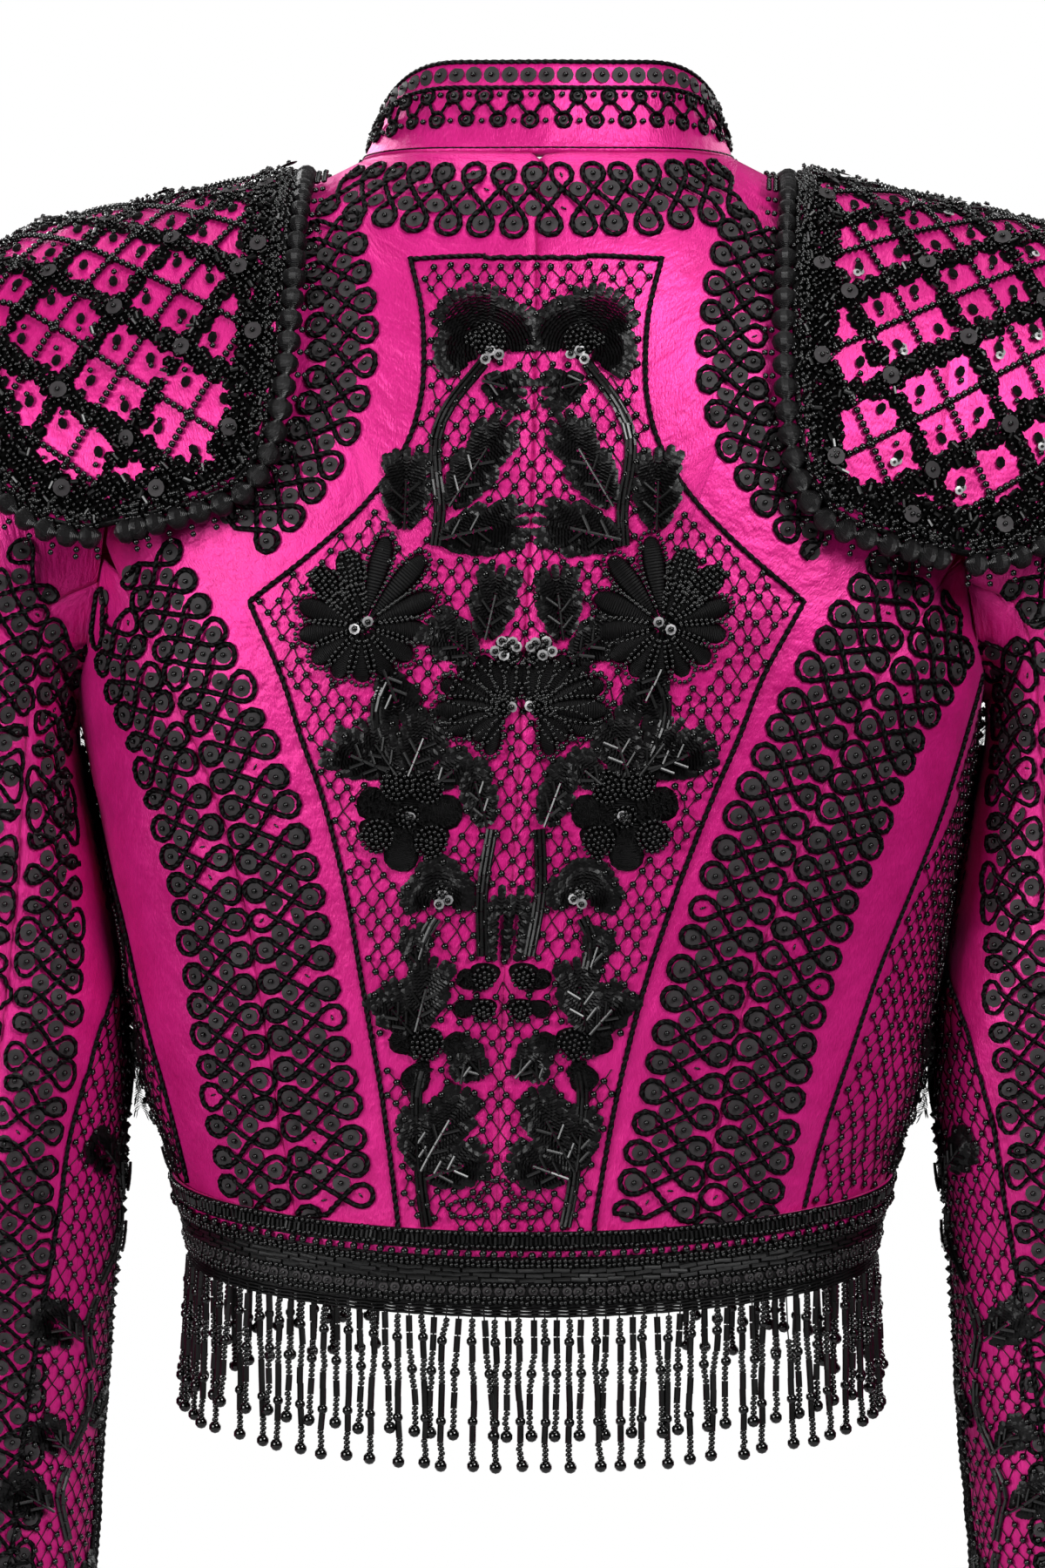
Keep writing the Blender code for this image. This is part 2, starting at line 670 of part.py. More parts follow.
def build_hem(mats):
    count = 55
    a0, a1 = hem_ends()
    _, around = hem_curve(3, 0, 0)
    a = np.linspace(a0, a1, 2401)
    p = torso(a, hem_level(a) - ARM_LEVEL)
    d = np.concatenate([[0], np.cumsum(np.linalg.norm(np.diff(p, axis=0), axis=1))])
    at = np.interp(np.linspace(0, d[-1], count), d, a)
    outer, inner = [], []
    for up in (-1.0, 9.0, 19.0, HEM_BAND):
        h = hem_level(at) - ARM_LEVEL + up
        q, n = torso(at, h), normal(at, h)
        inner.append(q + n * HEM_OFF)
        outer.append(q + n * (HEM_OFF + HEM_BAND_THICK))
    sheet("hem_band", np.array(outer), np.array(inner), mats["beads"])


def build_fringe(mats):
    _, around = hem_curve(3, 0, 0)
    strands = int(round(around / STRAND_PITCH))
    pitch = (around - 0.3) / strands
    part = STRAND / pitch
    edges = []
    for i in range(strands):
        edges += [(i + 0.5 - part / 2) / strands, (i + 0.5 + part / 2) / strands]
    count = 4001
    out, _ = hem_curve(count, 2.3, HEM_OFF + HEM_BAND_THICK)
    ins, _ = hem_curve(count, 2.3, HEM_OFF)
    at = np.linspace(0, 1, count)
    places = [0.0] + edges[1:-1] + [1.0]
    places[0], places[-1] = edges[0], edges[-1]
    outer = np.stack([np.interp(places, at, out[:, i]) for i in range(3)], -1)
    inner = np.stack([np.interp(places, at, ins[:, i]) for i in range(3)], -1)
    n = len(places)
    down = np.array([0, 0, STRIP])
    points = np.concatenate([outer, inner, outer - down, inner - down])
    points = list(points)
    faces = []
    for i in range(n - 1):
        j = i + 1
        faces.append((i, i + 2 * n, j + 2 * n, j))
        faces.append((n + i, n + j, 3 * n + j, 3 * n + i))
        faces.append((i, j, n + j, n + i))
        if i % 2:
            faces.append((2 * n + i, 3 * n + i, 3 * n + j, 2 * n + j))
            continue
        k = i // 2
        length = STRAND_LONG if k % 2 == 0 else STRAND_SHORT
        drop = np.array([0, 0, length - STRIP])
        ring = (2 * n + i, 3 * n + i, 3 * n + j, 2 * n + j)
        first = len(points)
        points.extend(points[r] - drop for r in ring)
        low = (first, first + 1, first + 2, first + 3)
        for s in range(4):
            e = (s + 1) % 4
            faces.append((ring[s], ring[e], low[e], low[s]))
        faces.append(low)
    faces.append((0, n, 3 * n, 2 * n))
    faces.append((n - 1, 3 * n - 1, 4 * n - 1, 2 * n - 1))
    solid("fringe", np.array(points), faces, mats["beads"])
    print("strands", strands, "round the hem", round(around))


def main():
    for o in list(bpy.data.objects):
        bpy.data.objects.remove(o)
    mats = {
        "satin": material("magenta_satin", (0.60, 0.012, 0.19), 0.38),
        "lattice": material("beaded_satin", (0.16, 0.006, 0.05), 0.45),
        "silk": material("black_silk", (0.012, 0.012, 0.013), 0.45),
        "beads": material("black_beads", (0.010, 0.010, 0.011), 0.25),
    }
    build_body(mats)
    build_collar(mats)
    build_sleeves(mats)
    build_flaps(mats)
    build_hem(mats)
    build_fringe(mats)


main()
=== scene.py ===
# %% [markdown]
# # A short matador jacket of magenta satin
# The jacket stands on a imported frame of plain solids. Every piece of cloth, cord, bead and
# sequin is made here around those solids, in the same metres and in the same place.
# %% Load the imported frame
import math

import bpy
import numpy as np
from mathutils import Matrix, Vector
from mathutils.bvhtree import BVHTree


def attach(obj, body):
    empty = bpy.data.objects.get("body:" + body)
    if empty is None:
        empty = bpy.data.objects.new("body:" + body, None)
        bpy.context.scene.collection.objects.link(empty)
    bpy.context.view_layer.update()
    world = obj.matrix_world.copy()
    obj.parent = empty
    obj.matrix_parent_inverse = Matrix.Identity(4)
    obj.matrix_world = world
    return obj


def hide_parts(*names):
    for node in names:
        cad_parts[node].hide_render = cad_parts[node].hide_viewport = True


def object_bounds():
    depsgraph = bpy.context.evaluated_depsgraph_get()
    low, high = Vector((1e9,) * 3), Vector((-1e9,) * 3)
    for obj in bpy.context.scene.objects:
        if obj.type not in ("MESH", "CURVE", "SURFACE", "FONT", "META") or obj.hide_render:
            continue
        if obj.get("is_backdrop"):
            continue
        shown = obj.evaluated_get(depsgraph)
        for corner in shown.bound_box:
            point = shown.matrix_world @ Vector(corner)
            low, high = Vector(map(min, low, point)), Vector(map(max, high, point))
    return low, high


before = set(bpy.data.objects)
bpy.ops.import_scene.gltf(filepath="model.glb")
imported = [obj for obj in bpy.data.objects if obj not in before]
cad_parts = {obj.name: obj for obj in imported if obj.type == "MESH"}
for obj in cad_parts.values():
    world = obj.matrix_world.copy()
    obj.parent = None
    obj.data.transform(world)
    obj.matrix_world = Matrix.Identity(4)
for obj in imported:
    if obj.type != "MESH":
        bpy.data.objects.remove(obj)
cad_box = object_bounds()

print("solids in the frame:", len(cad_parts))

# %% [markdown]
# ## Camera, light and floor
# A jacket shown from behind wants a long lens from far away, so that both shoulders keep their
# true shape. The light is large and soft, because satin shows every small hard lamp as a streak.
# %% Camera
CAMERA_AT = (0.004, 2.9, -0.243)
LENS = 168.0

camera = bpy.data.objects.new("camera", bpy.data.cameras.new("camera"))
bpy.context.scene.collection.objects.link(camera)
camera.location = CAMERA_AT
camera.rotation_euler = (math.radians(90), 0, math.radians(180))
camera.data.lens = LENS
camera.data.clip_end = 20
bpy.context.scene.camera = camera


# %% Soft boxes, sky and floor
def soft_box(name, place, aim, size, power):
    """A large square lamp at one place, turned to face another."""
    data = bpy.data.lights.new(name, "AREA")
    data.size = size
    data.energy = power
    lamp = bpy.data.objects.new(name, data)
    bpy.context.scene.collection.objects.link(lamp)
    lamp.location = place
    lamp.rotation_euler = (Vector(aim) - Vector(place)).to_track_quat("-Z", "Y").to_euler()


MIDDLE = (0, 0, -0.25)
soft_box("key", (-1.3, 2.1, 1.1), MIDDLE, 1.0, 76)
soft_box("fill", (1.8, 1.8, 0.1), MIDDLE, 1.2, 56)
soft_box("far_key", (1.4, -2.0, 1.0), MIDDLE, 1.2, 46)
soft_box("far_fill", (-1.6, -1.8, 0.4), MIDDLE, 1.4, 24)
soft_box("top", (0, 0.1, 1.9), MIDDLE, 1.4, 30)

world = bpy.data.worlds.new("studio")
world.use_nodes = True
bpy.context.scene.world = world
bpy.context.scene.view_settings.view_transform = "Standard"
bpy.context.scene.view_settings.look = "None"

SKY = 0.05
FLOOR_LEVEL = -0.66
sky = world.node_tree
seen = sky.nodes.new("ShaderNodeLightPath")
white = sky.nodes.new("ShaderNodeBackground")
dim = sky.nodes.new("ShaderNodeBackground")
either = sky.nodes.new("ShaderNodeMixShader")
white.inputs["Color"].default_value = (1, 1, 1, 1)
dim.inputs["Color"].default_value = (1, 1, 1, 1)
dim.inputs["Strength"].default_value = SKY
sky.links.new(seen.outputs["Is Camera Ray"], either.inputs[0])
sky.links.new(dim.outputs[0], either.inputs[1])
sky.links.new(white.outputs[0], either.inputs[2])
sky.links.new(either.outputs[0], sky.nodes["World Output"].inputs["Surface"])

# %% [markdown]
# ## Finishes
# Shader sums read best as sums. One small class wraps a socket, so that a Python expression adds
# the Math nodes, and one method adds every other kind of node.
# %% A wire that can be added, multiplied and mixed
class Wire:
    """A socket of a shader, or a plain start for new nodes."""

    def __init__(self, tree, socket=None):
        self.tree, self.socket = tree, socket

    def node(self, kind, inputs=None, out=0, **settings):
        n = self.tree.nodes.new(kind)
        for key, value in settings.items():
            setattr(n, key, value)
        for key, value in (inputs or {}).items():
            if isinstance(value, Wire):
                self.tree.links.new(value.socket, n.inputs[key])
            else:
                n.inputs[key].default_value = value
        return Wire(self.tree, n.outputs[out])

    def sum(self, operation, a, b=0.0):
        return self.node("ShaderNodeMath", {0: a, 1: b}, operation=operation)

    def __add__(self, other):
        return self.sum("ADD", self, other)

    def __sub__(self, other):
        return self.sum("SUBTRACT", self, other)

    def __rsub__(self, other):
        return self.sum("SUBTRACT", other, self)

    def __mul__(self, other):
        return self.sum("MULTIPLY", self, other)

    __radd__ = __add__
    __rmul__ = __mul__


def start(name, **uniform):
    """A new material with its even values set; returns it and a wire to build on."""
    m = bpy.data.materials.new(name)
    m.use_nodes = True
    shader = m.node_tree.nodes["Principled BSDF"]
    for key, value in uniform.items():
        shader.inputs[key.replace("_", " ")].default_value = value
    return m, Wire(m.node_tree)


def drive(m, **wires):
    """Joins wires to the shader of a material."""
    shader = m.node_tree.nodes["Principled BSDF"]
    for key, wire in wires.items():
        m.node_tree.links.new(wire.socket, shader.inputs[key.replace("_", " ")])


def two_tone(w, amount, dark, light):
    """A colour between two, by a wire from 0 to 1."""
    return w.node(
        "ShaderNodeMix", {0: amount, 6: (*dark, 1), 7: (*light, 1)}, out=2, data_type="RGBA"
    )


def noise(w, where, scale, detail=2.0, roughness=0.5):
    inputs = {"Vector": where, "Scale": scale, "Detail": detail, "Roughness": roughness}
    return w.node("ShaderNodeTexNoise", inputs)


def bump(w, height, distance, strength=1.0, under=None):
    inputs = {"Height": height, "Distance": distance, "Strength": strength}
    if under:
        inputs["Normal"] = under
    return w.node("ShaderNodeBump", inputs)


# %% [markdown]
# ### Satin
# The face of satin is a field of long loose threads, so it shines along them, and where stitches
# pull it the shine breaks up. Its colour is painted sheen and shade: it swings between bright and
# dark magenta by a fine grain and larger patches. The cloth's own map is in metres, so thread
# sizes are real sizes.
# %% Satin, lining and net
MAGENTA = (0.66, 0.012, 0.225)
# The satin's colour in painted shade, the dark end of its painted sheen.
MAGENTA_IN_PAINTED_SHADE = (0.36, 0.002, 0.10)
LINING = (0.30, 0.02, 0.09)
# The lining colour at six tenths: the lining in painted shade.
LINING_SHADE = (0.18, 0.012, 0.054)
LINING_THREAD = 0.0006
SATIN_THREADS = (2100, 520, 1)


def satin():
    m, w = start(
        "magenta_satin_cloth", Metallic=0.30, Specular_IOR_Level=0.80, Specular_Tint=(1, 0.42, 0.80, 1),
        Sheen_Weight=0.14, Sheen_Roughness=0.35, Sheen_Tint=(1, 0.34, 0.70, 1),
    )
    cloth = w.node("ShaderNodeTexCoord", out=2)
    threads = w.node("ShaderNodeMapping", {0: cloth, 3: SATIN_THREADS})
    grain = noise(w, threads, 1.0, 2.0, 0.6)
    patches = noise(w, cloth, 46.0, 3.0, 0.55)
    puckers = noise(w, cloth, 190.0, 2.0, 0.55)
    drive(
        m,
        # Painted sheen and shade: brighter magenta where the grain and patches run high, the shaded magenta
        # where they run low.
        Base_Color=two_tone(w, grain * 0.8 + patches * 0.9 - 0.35, MAGENTA_IN_PAINTED_SHADE, MAGENTA),
        Roughness=grain * 0.20 + patches * 0.14 + 0.24,
        Normal=bump(w, grain, 0.00022, 0.9, bump(w, puckers + patches * 2.4, 0.0011, 0.5)),
    )
    return m


def plain_lining():
    """A plain woven cloth with one thread over and one under."""
    m, w = start("lining_cloth", Roughness=0.8, Specular_IOR_Level=0.2)
    cloth = w.node("ShaderNodeTexCoord", out=2)
    weave = w.node("ShaderNodeMapping", {0: cloth, 3: (1 / LINING_THREAD, 1 / LINING_THREAD, 1)})
    squares = w.node("ShaderNodeTexChecker", {"Vector": weave, "Scale": 1.0}, out=1)
    tone = noise(w, cloth, 60.0, 3.0)
    drive(
        m,
        # Painted shade: the colour falls towards the shaded lining in uneven patches and on every other
        # square of the weave.
        Base_Color=two_tone(w, tone * 0.7 + squares * 0.3, LINING_SHADE, LINING),
        Normal=bump(w, squares, 0.0001, 0.5),
    )
    return m


magenta, lining = satin(), plain_lining()


# %% [markdown]
# ### Cord, thread, glass and sequins
# The cord is two silk yarns twisted together. Its own map runs along and round it, so a slanted
# stripe makes the twist. Beads are black glass, and sequins are thin dull discs.
# %% Cord and thread
def grey(level):
    return (level, level, level)


def silk(name, colour, shade, turns, along, depth, sheen=0.14, rough=0.38):
    """Twisted or laid black silk: slanted stripes in the map of the piece, with painted shade in their
    grooves and painted highlight on their crests.
    """
    m, w = start(name, Specular_IOR_Level=sheen)
    where = w.node("ShaderNodeTexCoord", out=2)
    round_it = w.node("ShaderNodeSeparateXYZ", {0: where}, out=0)
    down_it = w.node("ShaderNodeSeparateXYZ", {0: where}, out=1)
    stripe = w.sum("SINE", round_it * (turns * 2 * math.pi) + down_it * (along * 2 * math.pi))
    fuzz = noise(w, w.node("ShaderNodeTexCoord", out=3), 900.0, 2.0, 0.7)
    drive(
        m,
        # Painted shade and highlight: the colour is darker in the grooves of the stripes and lighter on their
        # crests; the fuzz makes the tone uneven.
        Base_Color=two_tone(w, stripe * 0.35 + fuzz * 0.5 + 0.2, shade, colour),
        Roughness=fuzz * 0.2 + rough,
        Normal=bump(w, stripe + fuzz * 0.8, depth, 0.8),
    )
    return m


cord_silk = silk("black_twisted_cord", (0.004, 0.0034, 0.004), grey(0.0002), 2.0, 330.0, 0.0004, 0.10)
laid_silk = silk("black_laid_thread", (0.004, 0.0036, 0.004), grey(0.0004), 0.0, 40.0, 0.0003, 0.13)
roll_silk = silk("black_wrapped_roll", (0.012, 0.011, 0.012), grey(0.001), 0.0, 44.0, 0.0006, 0.5, 0.26)
net_thread = silk("black_net_thread", (0.006, 0.004, 0.005), grey(0.001), 1.0, 900.0, 0.00005)
SILKS = (cord_silk, laid_silk, roll_silk, net_thread)


# %% Glass and sequins
def hard_black(name, colour, shade, rough, spread, shine):
    """Glass or plastic: a little uneven from bead to bead, by place."""
    m, w = start(name, Specular_IOR_Level=shine)
    here = w.node("ShaderNodeTexCoord", out=3)
    tone = noise(w, here, 320.0, 1.0)
    smear = noise(w, here, 90.0, 2.0)
    drive(m, Base_Color=two_tone(w, tone, shade, colour), Roughness=smear * spread + rough)
    return m


glass = hard_black("black_bead_glass", grey(0.0015), grey(0.0004), 0.02, 0.07, 0.45)
cut_glass = hard_black("black_bugle_glass", grey(0.0015), grey(0.0004), 0.24, 0.14, 0.55)
dull = hard_black("dull_sequin", (0.038, 0.034, 0.036), (0.018, 0.016, 0.017), 0.42, 0.25, 0.15)
leafy = hard_black("leaf_sequin", (0.006, 0.0056, 0.006), grey(0.0015), 0.24, 0.2, 0.15)
# Pale grey sequins: the grey is a painted glint, the light that clear cupped sequins catch.
clear = hard_black("clear_sequin", (0.46, 0.45, 0.46), grey(0.05), 0.2, 0.2, 0.6)
CUT_OR_FLAT = (cut_glass, dull, leafy, clear)
print("finishes:", len(bpy.data.materials))

# %% [markdown]
# ## The form of the cloth
# The cloth follows the same few measured rings, edges and sections as the solids under it. All
# sizes here are millimetres, with the shoulder seam near y 0 and the nape at the origin.
# %% Sizes of the body
CLOTH = 2.0
SHOWN_CLOTH = 1.2
ARM_LEVEL, ARCH = -200.0, 240.0
RIDGE_Y = -5.0
SQUARE, ARCH_SQUARE, CHEST_SQUARE = 2.5, 2.6, 1.35
COLLAR_HEIGHT, COLLAR_SIDE, COLLAR_LEAN = 35.0, 24.0, 9.0
HEM_BAND, HEM_OFF = 28.0, 1.0
SIDES = ((1, "left"), (-1, "right"))


def table(*rows):
    return np.array(rows, float)


# Rings: level, half width, depth at the back, depth at the front.
RINGS = table(
    (-450, 133.5, 72, 92), (-417, 134.5, 72, 93), (-395, 141, 74, 97), (-367, 151, 78, 104),
    (-340, 156.5, 83, 112), (-300, 162, 90, 123), (-250, 170.5, 97, 134), (-200, 178, 101, 138),
)
RIDGE = table((0, 33), (40, 22), (74, 3.5), (100, -9), (150, -26), (167, -31), (200, -42))
DRIFT = table(
    (-450, 15), (-406, 14), (-366, 13), (-316, 11), (-293, 9), (-250, 6),
    (-200, 4), (-155, 1.5), (-100, 0.5), (-60, 1), (0, 3.5),
)
SWAY = table((-160, 0), (-120, -0.5), (-60, -2), (-30, -3.5), (0, -6), (40, -8))
PRINCESS = table(
    (-450, 74), (-406, 79), (-366, 86.5), (-340, 91), (-315, 96.5), (-293, 102), (-270, 109),
    (-248, 117), (-229, 125), (-206, 135.5), (-190, 145), (-155, 165),
)
# Armhole: level, angle from the back, angle from the front.
ARMHOLE = table(
    (-31, 71.2, 71.2), (-75, 66.2, 64), (-118, 65.7, 63), (-155, 68.8, 66.5),
    (-188, 77.2, 76), (-202, 85.2, 85), (-206, 90, 90),
)
FRONT_SEAM = table((-450, 62), (-300, 65), (-188, 76))
NECK_BACK = table((0, 2.2), (25, 2.5), (43, 3), (58, 3.5), (68, 3.6), (74, 3.5))
NECK_FRONT = table((74, 3.5), (71, -8), (64, -25), (54, -43), (38, -62))
FRONT_EDGE = table((-450, 62), (-250, 54), (-150, 46), (-62, 38))


# %% Curves through short tables
def smooth(rows, at, column=1):
    """A soft curve through a short table, by cubic pieces."""
    t, v = rows[:, 0], rows[:, column]
    if t[0] > t[-1]:
        t, v = t[::-1], v[::-1]
    slope = np.gradient(v, t)
    at = np.clip(np.asarray(at, float), t[0], t[-1])
    i = np.clip(np.searchsorted(t, at, side="right") - 1, 0, len(t) - 2)
    step = t[i + 1] - t[i]
    u = (at - t[i]) / step
    return (
        (2 * u**3 - 3 * u**2 + 1) * v[i]
        + (u**3 - 2 * u**2 + u) * step * slope[i]
        + (3 * u**2 - 2 * u**3) * v[i + 1]
        + (u**3 - u**2) * step * slope[i + 1]
    )


def power(value, exponent):
    return np.sign(value) * np.abs(value) ** exponent


def unit(v):
    return v / np.maximum(np.linalg.norm(v, axis=-1, keepdims=True), 1e-9)


def walked(path):
    """How far along a path each of its points lies."""
    return np.concatenate([[0], np.cumsum(np.linalg.norm(np.diff(path, axis=0), axis=1))])


def read_at(at, d, path):
    """Points of a path at some distances along it."""
    return np.stack([np.interp(at, d, column) for column in path.T], -1)


def lean(p):
    """The neck and shoulders lean a little to one side as the jacket hangs."""
    q = np.array(p, float)
    q[..., 0] += smooth(SWAY, q[..., 2])
    return q


# %% The body as one surface
def front_squareness(x):
    return np.interp(np.abs(x), [40, 140], [CHEST_SQUARE, ARCH_SQUARE])


def torso(angle, h):
    """A point of the body: angle 0 at the back and 90 at the wearer's left; h is the height below
    the armhole level, and the length over the shoulder above it."""
    angle, h = np.radians(angle), np.asarray(h, float)
    z = ARM_LEVEL + np.minimum(h, 0)
    s, c = power(np.sin(angle), 2 / SQUARE), power(np.cos(angle), 2 / SQUARE)
    x = smooth(RINGS, z, 1) * s
    y = np.where(c >= 0, smooth(RINGS, z, 2), smooth(RINGS, z, 3)) * c
    square = np.where(c >= 0, ARCH_SQUARE, front_squareness(x)) / 2
    a = np.clip(h / ARCH, 0, 1) ** square * math.pi / 2
    high = (smooth(RIDGE, np.abs(x)) - ARM_LEVEL) * np.sin(a) ** (1 / square)
    fall = np.abs(np.cos(a)) ** (1 / square)
    y = np.where(h > 0, RIDGE_Y + (y - RIDGE_Y) * fall, y)
    z = np.where(h > 0, ARM_LEVEL + high, z)
    return np.stack([x, y, z], -1)


def length_of(x, z, front):
    """The coordinate h of the point of the body at this distance and level."""
    square = np.where(front, front_squareness(x), ARCH_SQUARE) / 2
    top = smooth(RIDGE, np.abs(x)) - ARM_LEVEL
    part = np.clip((z - ARM_LEVEL) / top, 0, 1)
    a = (2 / math.pi * np.arcsin(part**square)) ** (1 / square)
    return np.where(z <= ARM_LEVEL, z - ARM_LEVEL, a * ARCH)


def angle_of(x, z, front):
    wide = smooth(RINGS, np.minimum(z, ARM_LEVEL), 1)
    a = np.degrees(np.arcsin(np.clip(np.abs(x) / wide, 0, 1) ** (SQUARE / 2)))
    return np.where(x < 0, -1, 1) * np.where(front, 180 - a, a)


def torso_normal(angle, h):
    """The outward direction of the body."""
    ha = np.minimum(h, ARCH - 3.0)
    across = torso(angle + 0.3, ha) - torso(angle - 0.3, ha)
    n = unit(np.cross(across, torso(angle, ha + 1.5) - torso(angle, ha - 1.5)))
    out = torso(angle, ha) - np.array([0.0, RIDGE_Y, 0.0])
    out[..., 2] = np.maximum(out[..., 2], 0) * 0.2
    return np.where(np.sum(n * out, -1, keepdims=True) < 0, -n, n)


def hem_level(angle):
    return -444 + 35 * np.abs(np.sin(np.radians(angle) / 2)) ** 1.6


# %% Edges of the panels
def edge_points(xs, zs, front):
    return np.stack([angle_of(xs, zs, front), length_of(xs, zs, front)], -1)


def join(*parts):
    return np.concatenate([parts[0], *(p[1:] for p in parts[1:])])


def along(points, count):
    """Spreads points evenly over a line of the body."""
    d = walked(torso(*points.T))
    return read_at(np.linspace(0, d[-1], count), d, points)


def hem_crossing(curve):
    """Cuts a seam off at the hem."""
    low = hem_level(curve[:, 0]) - ARM_LEVEL
    keep = curve[:, 1] > low + 0.5
    first = int(np.argmax(keep))
    a = curve[first, 0]
    return np.concatenate([[(a, hem_level(a) - ARM_LEVEL)], curve[first:]])


def armhole_edge(side, front, z_from, z_to, count=40):
    low, top = ARMHOLE[-1, 0], ARMHOLE[0, 0]
    middle, half = (low + top) / 2, (top - low) / 2
    t0, t1 = (np.arccos(np.clip((z - middle) / half, -1, 1)) for z in (z_from, z_to))
    z = middle + half * np.cos(np.linspace(t0, t1, count))
    a = smooth(ARMHOLE, z, 2 if front else 1)
    a = np.where(front, 180 - a, a)
    x = torso(a, np.zeros_like(a))[:, 0]
    return np.stack([side * a, length_of(x, np.minimum(z, smooth(RIDGE, x)), front)], -1)


def hem_edge(a0, a1, count):
    a = np.linspace(a0, a1, count)
    return np.stack([a, hem_level(a) - ARM_LEVEL], -1)


def middle_back():
    z = np.linspace(-450, 0, 91)
    return hem_crossing(edge_points(smooth(DRIFT, z), z, False))


def princess(side):
    z = np.linspace(-450, -155, 60)
    drift = smooth(DRIFT, z) * np.clip((-155 - z) / 40, 0, 1)
    return hem_crossing(edge_points(side * smooth(PRINCESS, z) + drift, z, False))


def front_seam(side):
    z = np.linspace(-450, -188, 60)
    return hem_crossing(np.stack([side * (180 - smooth(FRONT_SEAM, z)), z - ARM_LEVEL], -1))


def front_edge(side):
    z = np.linspace(-450, -62, 80)
    return hem_crossing(edge_points(side * smooth(FRONT_EDGE, z), z, True))


def neck(side, front):
    rows = NECK_FRONT if front else NECK_BACK
    steps = np.column_stack([np.arange(len(rows)), rows])
    d = np.linspace(0, len(rows) - 1, 25)
    x, z = smooth(steps, d, 1), smooth(steps, d, 2)
    e = edge_points(side * x, np.minimum(z, smooth(RIDGE, x)), front)
    e[0 if front else -1, 1] = ARCH
    return e


def shoulder(side, front, outward):
    x = np.linspace(74, torso(ARMHOLE[0, 1], 0.0)[0], 12)
    e = edge_points(side * x, smooth(RIDGE, x), front)
    e[:, 1] = ARCH
    return e if outward else e[::-1]


def patch(bottom, top, left, right):
    """A grid between four edges."""
    bottom, top, left, right = (np.asarray(e, float) for e in (bottom, top, left, right))
    s = np.linspace(0, 1, len(bottom))[None, :, None]
    v = np.linspace(0, 1, len(left))[:, None, None]
    return (
        (1 - v) * bottom[None] + v * top[None] + (1 - s) * left[:, None] + s * right[:, None]
        - (1 - s) * (1 - v) * bottom[0] - s * (1 - v) * bottom[-1]
        - (1 - s) * v * top[0] - s * v * top[-1]
    )


print("length of the middle back:", round(float(np.ptp(torso(*middle_back().T)[:, 2]))))

# %% [markdown]
# ## Cloth
# Each panel is one thin sheet of satin. A flat grid is laid out and its points are carried onto
# the body, a soft unevenness is added where cloth is stitched down and pulled, the edges dip
# where they are sewn, and Solidify gives the sheet its small thickness on the inner side.
# %% Folds and dips
CROSSING_WAVES = 5


def waves(p, seed, lengths):
    """Soft uneven troughs and ridges from a few crossing waves, about -1 to 1."""
    draw = np.random.default_rng(seed)
    total = np.zeros(p.shape[:-1])
    for _ in range(CROSSING_WAVES):
        direction = unit(draw.normal(size=3) * np.array([1.0, 0.7, 1.3]))
        length = draw.uniform(*lengths)
        total += np.sin(p @ direction * 2 * math.pi / length + draw.uniform(0, 6.3))
    return total / CROSSING_WAVES


def rise(z, level, spread):
    """A smooth hump, 1 at a level and fading above and below."""
    return np.exp(-(((z - level) / spread) ** 2))


def crease(p):
    """How far the body cloth stands off its solid: pulls at the waist, under the arms, at seams."""
    x, z = p[..., 0], p[..., 2]
    waist = rise(z, -392, 55)
    arms = rise(z, -215, 60) * np.clip((np.abs(x) - 95) / 50, 0, 1)
    hem = np.clip((z - hem_level(0) - HEM_BAND - 4) / 14, 0, 1)
    large = waves(p, 3, (46, 95)) * (0.7 + 1.1 * waist + 1.5 * arms)
    small = waves(p, 5, (17, 34)) * (0.35 + 0.35 * waist + 0.3 * arms)
    stitched = 0.35 * (np.sin(z / 9.5 + waves(p, 9, (30, 60)) * 2.2) * waves(p, 11, (40, 90)))
    full = (1.6 * rise(z, -285, 50) + 2.0 * rise(z, -214, 26)) * np.clip((np.abs(x) - 145) / 20, 0, 1)
    return (large + small + stitched) * hem + full


FLOWERS = [
    (22, -66, 15, 2.0), (58, -183, 26, 3.0), (16, -207, 18, 2.5), (43, -254, 20, 2.5),
    (28, -290, 12, 1.5), (10, -317, 14, 2.0), (29, -344, 15, 2.0), (19, -384, 15, 1.5),
]


def under_flowers(p):
    """The cloth is lifted a little where thick work is stitched on."""
    x = p[..., 0] - smooth(DRIFT, p[..., 2])
    up = np.zeros(x.shape)
    for fx, fz, r, high in FLOWERS:
        d = np.hypot(np.abs(x) - fx, p[..., 2] - fz) / r
        up = np.maximum(up, 0.45 * high * np.clip(1.0 - d * d, 0, 1))
    return np.where(p[..., 1] > 0, up, 0)


SEAM_DIP = 0.8
FINE = (0, 0.22, 0.55)


def graded(count):
    """Places of a grid's lines, closer together at both ends, where the cloth is sewn."""
    inner = np.arange(1, count - 1)
    return np.concatenate([FINE, inner, [count - 1 - f for f in reversed(FINE)]])


def regrid(grid):
    rows, cols = graded(grid.shape[0]), graded(grid.shape[1])
    for axis, places in ((0, rows), (1, cols)):
        g = np.moveaxis(grid, axis, 0)
        i = np.clip(places.astype(int), 0, len(g) - 2)
        f = (places - i).reshape(-1, *[1] * (g.ndim - 1))
        grid = np.moveaxis(g[i] * (1 - f) + g[i + 1] * f, 0, axis)
    return grid


